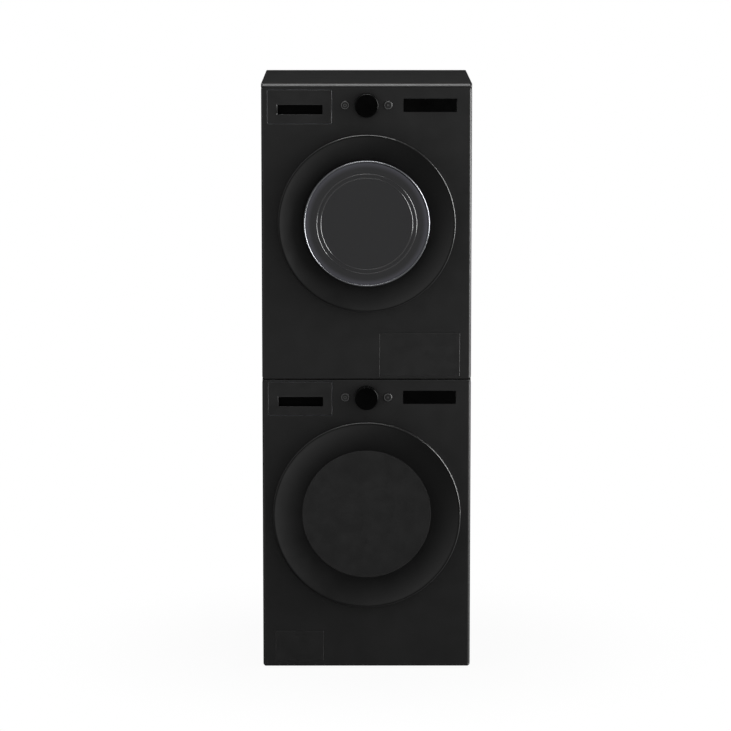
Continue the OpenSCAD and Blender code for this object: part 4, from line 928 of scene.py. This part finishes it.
def make_dryer_door():
    """The dryer's door: a dished ring, a chrome trim and a glass with two low ribs pressed round it."""
    place = (0, DRYER.front, DRYER.door_z)
    ring = piece("dryer_dished_ring",
                 [turned(ring_profile(182, -34, 174, -30, 253.5, 235), *place, around=240)],
                 finish("lacquer"), "dryer_door", ["dryer_door_ring"], 50)
    cut_boxes(ring, hinge_cuts(DRYER, DRYER.rim, 211 * MM))
    trim = eased([[177, -30], [180, -30], [180, -49], [177.2, -51.2], [174.5, -49], [174.5, -30], [177, -30]],
                 [0, 1.6, 1.6, 1.4, 0])
    piece("dryer_chrome_trim", [turned(trim * MM, *place, around=240)],
          finish("chrome"), "dryer_door", ["dryer_door_trim"], 50)
    r = np.concatenate([np.linspace(0, 126, 12), np.linspace(128, 146, 73), np.linspace(148, 174.2, 24)])
    dome = -52 + 4 * np.clip((r - 142) / 32.2, 0, 1) ** 1.8
    ribs = 1.2 * np.exp(-((r - 130.5) / 1.1) ** 2) + 1.2 * np.exp(-((r - 142) / 1.1) ** 2)
    front = np.stack([r, dome - ribs], -1)
    back = [[174.2, -30], [170.2, -30], [170.2, -44], [166, -47], [0, -48]]
    piece("dryer_glass", [turned(np.concatenate([front, back]) * MM, *place, around=192)],
          finish("glass"), "dryer_door", ["dryer_door_glass"], 50)


# ---------------------------------------------------------------- controls and drawer fronts


KNOB = [[0, -23.6], [24, -23.6], [31, -24], [32.8, -23.2], [34, -21], [34.4, -0.6], [31, -0.6], [31, -4],
        [7, -4], [7, 14], [0, 14]]
BUTTON = [[0, -2.0], [9.6, -2.2], [10.8, -2.2], [12, -1.4], [12, 1.6], [14.5, 1.6], [14.5, 3.6], [4, 3.6],
          [4, 14.2], [0, 14.2]]


def ring_mark(radius, width, x, y, z):
    """A thin printed ring: a flat band 0.04 mm high."""
    half = width / 2
    return turned(np.array([[radius - half, -0.04], [radius + half, -0.04], [radius + half, 0.02],
                            [radius - half, 0.02]]) * MM, x, y, z, 72)


def printed_marks(name, machine, side, y):
    """The ring and the small generic mark on one button: a bar in a broken circle, or a pair of bars."""
    x, z = side * BUTTON_X, machine.controls_z
    bars = [[[0, 0.6], [0, 1.9], [0, 3.2]]] if side < 0 else [[[-1.2, -1.8], [-1.2, 0], [-1.2, 1.8]],
                                                             [[1.2, -1.8], [1.2, 0], [1.2, 1.8]]]
    t = np.radians(np.linspace(35, 325, 30))
    if side < 0:
        bars.append(np.stack([2.7 * np.sin(t), 2.7 * np.cos(t)], -1))
    strokes = [stroke(np.array(bar) * 1.5 * MM, 0.8 * MM, -0.04 * MM, 0.02 * MM) for bar in bars]
    parts = [ring_mark(10.1, 0.9, x, y, z)] + to_front(strokes, x, y, z)
    return piece(f"{name}_print", parts, finish("mark"),
                 f"{machine_name(machine)}_key_{'left' if side < 0 else 'right'}",
                 (), 60, False)


def machine_name(machine):
    """washer or dryer."""
    return "washer" if machine is WASHER else "dryer"


def make_controls():
    """Knobs, buttons with their printed rings, and the display windows."""
    windows = []
    display_low, display_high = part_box("display_windows")
    display_x = (display_low.x + display_high.x) / 2
    for machine in (WASHER, DRYER):
        name, z = machine_name(machine), machine.controls_z
        knob = eased(KNOB, [0, 0.8, 0.8, 1.2, 0.4, 0.4, 0.4, 0.4, 0.4]) * MM
        piece(f"{name}_turned_knob", [turned(knob, 0, machine.front, z, 96)], finish("gloss_black"),
              f"{name}_dial", [f"{name}_knob"], 40)
        for side, word in ((-1, "left"), (1, "right")):
            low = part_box(f"{name}_button_{word}")[0]
            button = eased(BUTTON, [0, 0.5, 0.6, 0.3, 0.3, 0.3, 0.3, 0.3]) * MM
            piece(f"{name}_key_cap_{word}", [turned(button, side * BUTTON_X, low.y + 2.2 * MM, z, 72)],
                  finish("fascia"), f"{name}_key_{word}",
                  [f"{name}_button_{word}"], 40)
            printed_marks(f"{name}_{word}", machine, side, low.y)
        pane = sheet(rounded_outline(151.6 * MM, 37.6 * MM, 2 * MM), [], -0.4 * MM, 1.2 * MM, 0.4 * MM)
        flange = sheet(rounded_outline(164 * MM, 50 * MM, 3 * MM), [], 1.3 * MM, 3.7 * MM, 0.4 * MM)
        windows += to_front(pane + flange, display_x, machine.front, z)
    piece("display_panes", windows, finish("gloss_black"), "root", ["display_windows"], 40)


def ring_at(outline, y):
    """An outline's points at one depth."""
    points = outline[0]
    return np.stack([points[:, 0], np.full(len(points), y), points[:, 1]], -1)


def drawer_front(name, body, replaced, machine):
    """A drawer front with a finger pocket moulded behind it.

    The pocket's mouth has a hard lower edge and a soft upper one: the rim's rounding grows with the
    normal's Z.
    """
    x, z, width, height = machine.drawer
    mouth = moved(rounded_outline(130 * MM, 27 * MM, 2 * MM), 0, -9 * MM)
    cavity = moved(rounded_outline(130 * MM, 37 * MM, 2.5 * MM), 0, -14 * MM)
    shell = moved(rounded_outline(134 * MM, 41 * MM, 3 * MM), 0, -14 * MM)
    face = carried(rounded_outline(width, height, 4 * MM), edge_profile(1.6 * MM, 0, 3 * MM, -1))
    points, normals = mouth
    soft = np.clip(normals[:, 1], 0, 1) ** 2
    reach, depth = 0.5 * MM + 8 * MM * soft, 0.5 * MM + 2.4 * MM * soft
    t = np.linspace(0, math.pi / 2, 8)[:, None]
    flat = points + normals * (reach * (1 - np.sin(t)))[..., None]
    rim = np.stack([flat[..., 0], depth * (1 - np.cos(t)), flat[..., 1]], -1)
    deep = (cavity[0] - cavity[1] * 2 * MM, None)
    inside = np.stack([ring_at(cavity, 3.05 * MM), ring_at(cavity, 20 * MM), ring_at(deep, 22 * MM)])
    outside = np.stack([ring_at(shell, 24 * MM), ring_at(shell, 3.05 * MM)])
    back_hole = ring_at(mouth, 3 * MM)
    rim = np.concatenate([rim, [back_hole]])
    parts = [grid_part(face), grid_part(rim), filled([face[0], rim[0]]), filled([face[-1], back_hole])]
    piece(f"{name}_front", to_front(parts, x, machine.front, z), finish("fascia"), body,
          [replaced], 40)
    cup = [grid_part(inside), grid_part(outside), grid_part(np.stack([inside[0], outside[-1]])),
           filled([inside[-1]]), filled([outside[0]])]
    piece(f"{name}_pocket", to_front(cup, x, machine.front, z), finish("pocket"), body,
          (), 40)


def make_drawer_fronts():
    """The detergent drawer's and the water tank's fronts."""
    drawer_front("washer_drawer", "washer_drawer", "washer_drawer_fascia", WASHER)
    drawer_front("dryer_tank", "dryer_tank", "dryer_tank_fascia", DRYER)


def flap_plate(machine, notch):
    """A flap: a plate with softened edges and two hinge pins low down, and a shallow finger notch in its top
    edge if asked."""
    name = machine_name(machine)
    low, high = machine.flap_low, machine.flap_high
    x, z = (low.x + high.x) / 2, (low.z + high.z) / 2
    width, height = FLAP_WIDTH[name], high.z - low.z
    parts = to_front(sheet(rounded_outline(width, height, 5 * MM, low_radius=2 * MM), [], 0, 2.5 * MM,
                           1.8 * MM), x, machine.front, z)
    pin_y, pin_z = machine.front + FLAP_PIN, low.z + FLAP_PIN_Z
    pins = [tube_along(np.linspace([x + s * (width / 2 - 6 * MM), pin_y, pin_z],
                                   [low.x if s < 0 else high.x, pin_y, pin_z], 4), 2 * MM, 20)
            for s in (-1, 1)]
    made = piece(f"{name}_flap_plate", parts + pins, finish("fascia"), f"{name}_flap",
                 [f"{name}_filter_flap"], 40)
    if notch:
        cut_boxes(made, [((x - 14 * MM, machine.front - 1 * MM, high.z - 13 * MM),
                          (x + 14 * MM, machine.front + 1.3 * MM, high.z + 1 * MM))])
    return made


# ---------------------------------------------------------------- drum and rear covers


def perforated_wall(outer, inner, y0, y1, around, rows, hole):
    """A drum's wall as staggered cells, each with an eight-sided hole through both skins.

    A cell's rim has its corners and the middles of its sides, and its hole's points lie at the same angles
    round the cell's middle. A point at angle t and depth y goes to (r sin t, y, r cos t).
    """
    width, height = 2 * math.pi / around, (y1 - y0) / rows
    rim = np.array([[0, 0], [1, 0], [2, 0], [2, 1], [2, 2], [1, 2], [0, 2], [0, 1]]) / 2 - 0.5
    angle = np.arctan2(rim[:, 1], rim[:, 0])
    drilled = np.stack([np.cos(angle) * hole / outer, np.sin(angle) * hole], -1)
    cell = np.concatenate([rim * [width, height], drilled])
    column, row = np.meshgrid(np.arange(around), np.arange(rows))
    middle = np.stack([(column + 0.5 + 0.5 * (row % 2)) * width, y0 + (row + 0.5) * height], -1)
    middle = middle.reshape(-1, 1, 2)
    t, y = np.moveaxis(middle + cell, -1, 0)
    skins = [np.stack([r * np.sin(t), y, r * np.cos(t)], -1) for r in (outer, inner)]
    points = np.concatenate(skins, 1)
    k = np.arange(8)
    after = (k + 1) % 8
    quads = np.concatenate([np.stack([k, after, after + 8, k + 8], -1),
                            np.stack([k + 16, after + 16, after + 24, k + 24], -1),
                            np.stack([k + 8, after + 8, after + 24, k + 24], -1)])
    faces = (np.arange(len(points))[:, None, None] * 32 + quads).reshape(-1, 4)
    return points.reshape(-1, 3), faces.tolist()


def make_washer_drum(settings):
    """The washer's drum: a perforated wall between a rolled front lip and a pressed back plate."""
    low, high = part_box("washer_drum")
    outer, length = (high.x - low.x) / 2 / MM, (high.y - low.y) / MM
    inner, count = outer - 1.5, settings.perforations
    lip = eased([[outer, 14], [outer, 12], [outer - 12, 0], [168, 0], [165, 3], [165, 12], [166.5, 12],
                 [166.5, 3.6], [168.6, 1.5], [outer - 12.6, 1.5], [inner, 12.6], [inner, 14]],
                [1, 5, 2, 2, 0.3, 0.3, 2, 2, 5, 1], 4)
    skin = np.array([[0, 0], [56, 0], [66, -4], [120, -4], [126, -1], [132, -4], [196, -4], [208, 0]])
    back = np.concatenate([[[inner, length - 3]], [[inner, length - 1.5]], skin[::-1] + [0, length - 1.5]])
    shell = np.concatenate([[[outer, length - 3]], [[outer, length]], skin[::-1] + [0, length]])
    wall = perforated_wall(outer * MM, inner * MM, 14 * MM, (length - 3) * MM, count, 18, 2.4 * MM)
    turned_parts = [turned(part * MM, 0, 0, 0, count * 2, closed=False) for part in (lip, back, shell)]
    piece("washer_perforated_drum", to_front([wall] + turned_parts, 0, low.y, WASHER.door_z),
          finish("stainless"), "washer_drum_unit", ["washer_drum"], 30)


def make_gasket():
    """The door gasket: one folded rubber section turned round the opening, made as one piece on no body. On
    the real machine its front lip stays on the cabinet and its back bead moves with the tub."""
    section = eased([[195, 1.2], [201, 1.2], [201, 8], [193, 12], [193, 32], [199, 42], [199, 62], [195, 62],
                     [192, 46], [183, 38], [167, 34], [163, 28], [168, 27], [187, 30], [187, 14], [192, 6],
                     [195, 1.2]],
                    [1, 1, 3, 3, 4, 3, 1, 1, 4, 4, 5, 1.5, 1.5, 4, 6, 3], 5)[:-1]
    gasket = piece("folded_gasket", [turned(section * MM, 0, WASHER.front, WASHER.door_z, 192)],
                   finish("gasket"), None, ["washer_gasket"], 60)
    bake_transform(gasket)


def make_springs():
    """The tub's springs: helices (r cos t, r sin t, rising with t) of nine turns whose ends turn in to the
    middle."""
    low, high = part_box("washer_springs")
    reach, fixed = 11 * MM, 12 * MM  # half a spring's width, and the stretch at each end that isn't blended
    turns, radius, wire = 9, 9.2 * MM, 1.8 * MM
    t = np.linspace(0, 1, turns * 28)
    ease = np.clip(np.minimum(t, 1 - t) / 0.05, 0, 1) ** 0.7
    y = (low.y + high.y) / 2
    parts = []
    for s in (-1, 1):
        x = (low.x + reach) if s < 0 else (high.x - reach)
        angle = 2 * math.pi * turns * t
        z = low.z + wire + (high.z - low.z - 2 * wire) * t
        path = np.stack([x + radius * ease * np.cos(angle), y + radius * ease * np.sin(angle), z], -1)
        parts.append(tube_along(path, wire, 12))
    springs = piece("wound_springs", parts, finish("zinc"), None, ["washer_springs"], 60)
    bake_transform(springs)


def smooth(value, start, end):
    """0 before the start, 1 after the end, and 3 t t - 2 t t t between."""
    t = np.clip((value - start) / (end - start), 0, 1)
    return t * t * (3 - 2 * t)


def louvred_cover(x, z, width, height, y):
    """A rear cover pressed from one sheet, with a flange, a raised border and rows of louvres in its field.

    Its height is 0.8 mm, plus 5 mm past the flange, less 3 mm inside the border, plus 2.4 mm times a
    louvre's rise from 0.18 to 0.75 of each 22 mm row, in two columns.
    """
    half, tall = width / 2 / MM, height / 2 / MM
    pitch, gauge = 22, 0.8
    side = np.array([0, 3, 8, 10, 11.5, 13, 14.5, 16, 22, 24, 26, 28, 30, 36, 40, 43, 46])
    across = np.concatenate([-half + side,
                             [-90, -60, -32, -25, -18, -12, -8, -5, -2, 2, 5, 8, 12, 18, 25, 32, 60, 90],
                             half - side[::-1]])
    rows = np.arange(-10, 10)[:, None] * pitch + pitch * np.array([0.18, 0.3, 0.42, 0.54, 0.66, 0.75, 0.79])
    up = np.concatenate([-tall + side[:13], rows.ravel(), tall - side[:13][::-1]])
    px, pz = np.meshgrid(across, up, indexing="ij")
    edge = np.minimum(half - np.abs(px), tall - np.abs(pz))
    share = np.mod(pz, pitch) / pitch
    column = smooth(np.abs(px), 4, 16) * (1 - smooth(np.abs(px), half - 46, half - 36))
    louvre = np.clip((share - 0.18) / 0.57, 0, 1) * (share < 0.77) * (np.abs(pz) < 219) * column
    rise = gauge + 5 * smooth(edge, 10, 16) - 3 * smooth(edge, 24, 30) + 2.4 * louvre
    skins = [np.stack([x + px * MM, y + h * MM, z + pz * MM], -1) for h in (rise, rise - gauge)]
    around = [np.concatenate([skin[:, 0], skin[-1, 1:], skin[-2::-1, -1], skin[0, -2:0:-1]])
              for skin in skins]
    parts = [grid_part(skin, wrap_columns=False) for skin in skins] + [grid_part(np.stack(around))]
    head = screw_head(3.6 * MM)
    corners = [(sx * (half - 5) * MM, sz * (tall - 5) * MM) for sx in (-1, 1) for sz in (-1, 0, 1)]
    for sx, sz in corners:
        parts += to_back([head], x + sx, y + 0.7 * MM, z + sz)
    return parts


def make_rear_covers():
    """The service covers on both backs."""
    low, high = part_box("rear_covers")
    gap = DRYER.cabinet_low.z - WASHER.cabinet_low.z
    height = high.z - low.z - gap
    parts = []
    for bottom in (low.z, low.z + gap):
        parts += louvred_cover(0, bottom + height / 2, high.x - low.x, height, low.y)
    piece("louvred_rear_covers", parts, finish("coat"), "root", ["rear_covers"], 25)


# ---------------------------------------------------------------- inside


CARRIED_OVER = {
    "coat": ["washer_cabinet", "dryer_cabinet"],
    "black_plastic": ["washer_base", "dryer_base", "washer_damper_cylinders"],
    "black_rubber": ["leveling_feet", "dryer_roller_left", "dryer_roller_right", "dryer_belt"],
    "zinc": ["door_fittings", "stacking_brackets", "washer_damper_rods", "washer_rotor",
             "washer_door_hinge", "dryer_door_hinge", "dryer_bulkhead", "dryer_motor"],
    "aluminium": ["washer_drum_shaft", "dryer_heat_pump"],
    "stainless": ["dryer_drum"],
    "grey": ["drawer_housings", "washer_pump_filter", "washer_lifters", "washer_door_frame",
             "dryer_fan_shaft", "dryer_lint_filter", "dryer_door_liner"],
    "pale": ["washer_drain_pump", "washer_inlet_valves", "washer_tub", "washer_detergent_drawer",
             "dryer_water_tank"],
    "clear_glass": ["washer_door_bowl"],
    "cast": ["washer_counterweights"],
    "copper": ["washer_stator"],
    "board": ["control_boards"],
}


def finish_inner_parts():
    """Gives each CAD node that stays its finish."""
    for name, nodes in CARRIED_OVER.items():
        for cad in nodes:
            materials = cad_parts[cad].data.materials
            materials.clear()
            materials.append(finish(name))


# ---------------------------------------------------------------- operators


class MakeStage(Operator):
    """Set up the camera, the paper floor, the white room and the soft boxes"""

    bl_idname = "laundry.stage"
    bl_label = "Stage"

    def execute(self, context):
        make_stage()
        return {"FINISHED"}


class MakeFronts(Operator):
    """Fold both front sheets, with every hole punched in them"""

    bl_idname = "laundry.fronts"
    bl_label = "Front sheets"

    def execute(self, context):
        front_sheet(WASHER, context.scene.laundry)
        front_sheet(DRYER, context.scene.laundry)
        return {"FINISHED"}


class MakeTops(Operator):
    """Make both top covers with their bevelled front edges"""

    bl_idname = "laundry.tops"
    bl_label = "Top covers"

    def execute(self, context):
        top_cover("washer", context.scene.laundry)
        top_cover("dryer", context.scene.laundry)
        return {"FINISHED"}


class MakeDoors(Operator):
    """Turn the rings, disc, chrome trim and glass of both doors"""

    bl_idname = "laundry.doors"
    bl_label = "Doors"

    def execute(self, context):
        make_washer_door()
        make_dryer_door()
        return {"FINISHED"}


class MakeControls(Operator):
    """Make the knobs, buttons, printed marks and display panes"""

    bl_idname = "laundry.controls"
    bl_label = "Controls"

    def execute(self, context):
        make_controls()
        return {"FINISHED"}


class MakeDrawerFronts(Operator):
    """Mould the drawer's and the tank's fronts with their finger pockets"""

    bl_idname = "laundry.drawer_fronts"
    bl_label = "Drawer fronts"

    def execute(self, context):
        make_drawer_fronts()
        return {"FINISHED"}


class FinishInnerParts(Operator):
    """Give every CAD part that stays its own finish"""

    bl_idname = "laundry.inner_parts"
    bl_label = "Inner parts"

    def execute(self, context):
        finish_inner_parts()
        return {"FINISHED"}


class MakeDrum(Operator):
    """Punch the washer's drum and spin its lip and back"""

    bl_idname = "laundry.drum"
    bl_label = "Washer drum"

    def execute(self, context):
        make_washer_drum(context.scene.laundry)
        return {"FINISHED"}


class MakeSuspension(Operator):
    """Mould the door gasket and wind the tub's springs"""

    bl_idname = "laundry.suspension"
    bl_label = "Gasket and springs"

    def execute(self, context):
        make_gasket()
        make_springs()
        return {"FINISHED"}


class MakeRearCovers(Operator):
    """Press both rear covers with their louvres and screws"""

    bl_idname = "laundry.rear_covers"
    bl_label = "Rear covers"

    def execute(self, context):
        make_rear_covers()
        return {"FINISHED"}


class MakeFlaps(Operator):
    """Cut both flaps out as plates with softened edges and hinge pins"""

    bl_idname = "laundry.flaps"
    bl_label = "Flaps"

    def execute(self, context):
        flap_plate(WASHER, True)
        flap_plate(DRYER, False)
        return {"FINISHED"}


STEPS = (MakeStage, MakeFronts, MakeTops, MakeDoors, MakeControls, MakeDrawerFronts, MakeFlaps,
         MakeDrum, MakeSuspension, MakeRearCovers, FinishInnerParts)


class LaundryPanel(Panel):
    """Lists the sizes, the colours and each step"""

    bl_idname = "VIEW3D_PT_laundry"
    bl_label = "Stacked washer and dryer"
    bl_space_type = "VIEW_3D"
    bl_region_type = "UI"
    bl_category = "Laundry"

    def draw(self, context):
        for name in LaundrySettings.__annotations__:
            self.layout.prop(context.scene.laundry, name)
        for step in STEPS:
            self.layout.operator(step.bl_idname)


CLASSES = (LaundrySettings,) + STEPS + (LaundryPanel,)


def register():
    for made in CLASSES:
        bpy.utils.register_class(made)
    bpy.types.Scene.laundry = PointerProperty(type=LaundrySettings)


def unregister():
    del bpy.types.Scene.laundry
    for made in reversed(CLASSES):
        bpy.utils.unregister_class(made)


def main():
    """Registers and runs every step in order."""
    register()
    bpy.ops.laundry.stage()
    bpy.ops.laundry.fronts()
    bpy.ops.laundry.tops()
    bpy.ops.laundry.doors()
    bpy.ops.laundry.controls()
    bpy.ops.laundry.drawer_fronts()
    bpy.ops.laundry.flaps()
    bpy.ops.laundry.drum()
    bpy.ops.laundry.suspension()
    bpy.ops.laundry.rear_covers()
    bpy.ops.laundry.inner_parts()


if __name__ == "__main__":
    main()
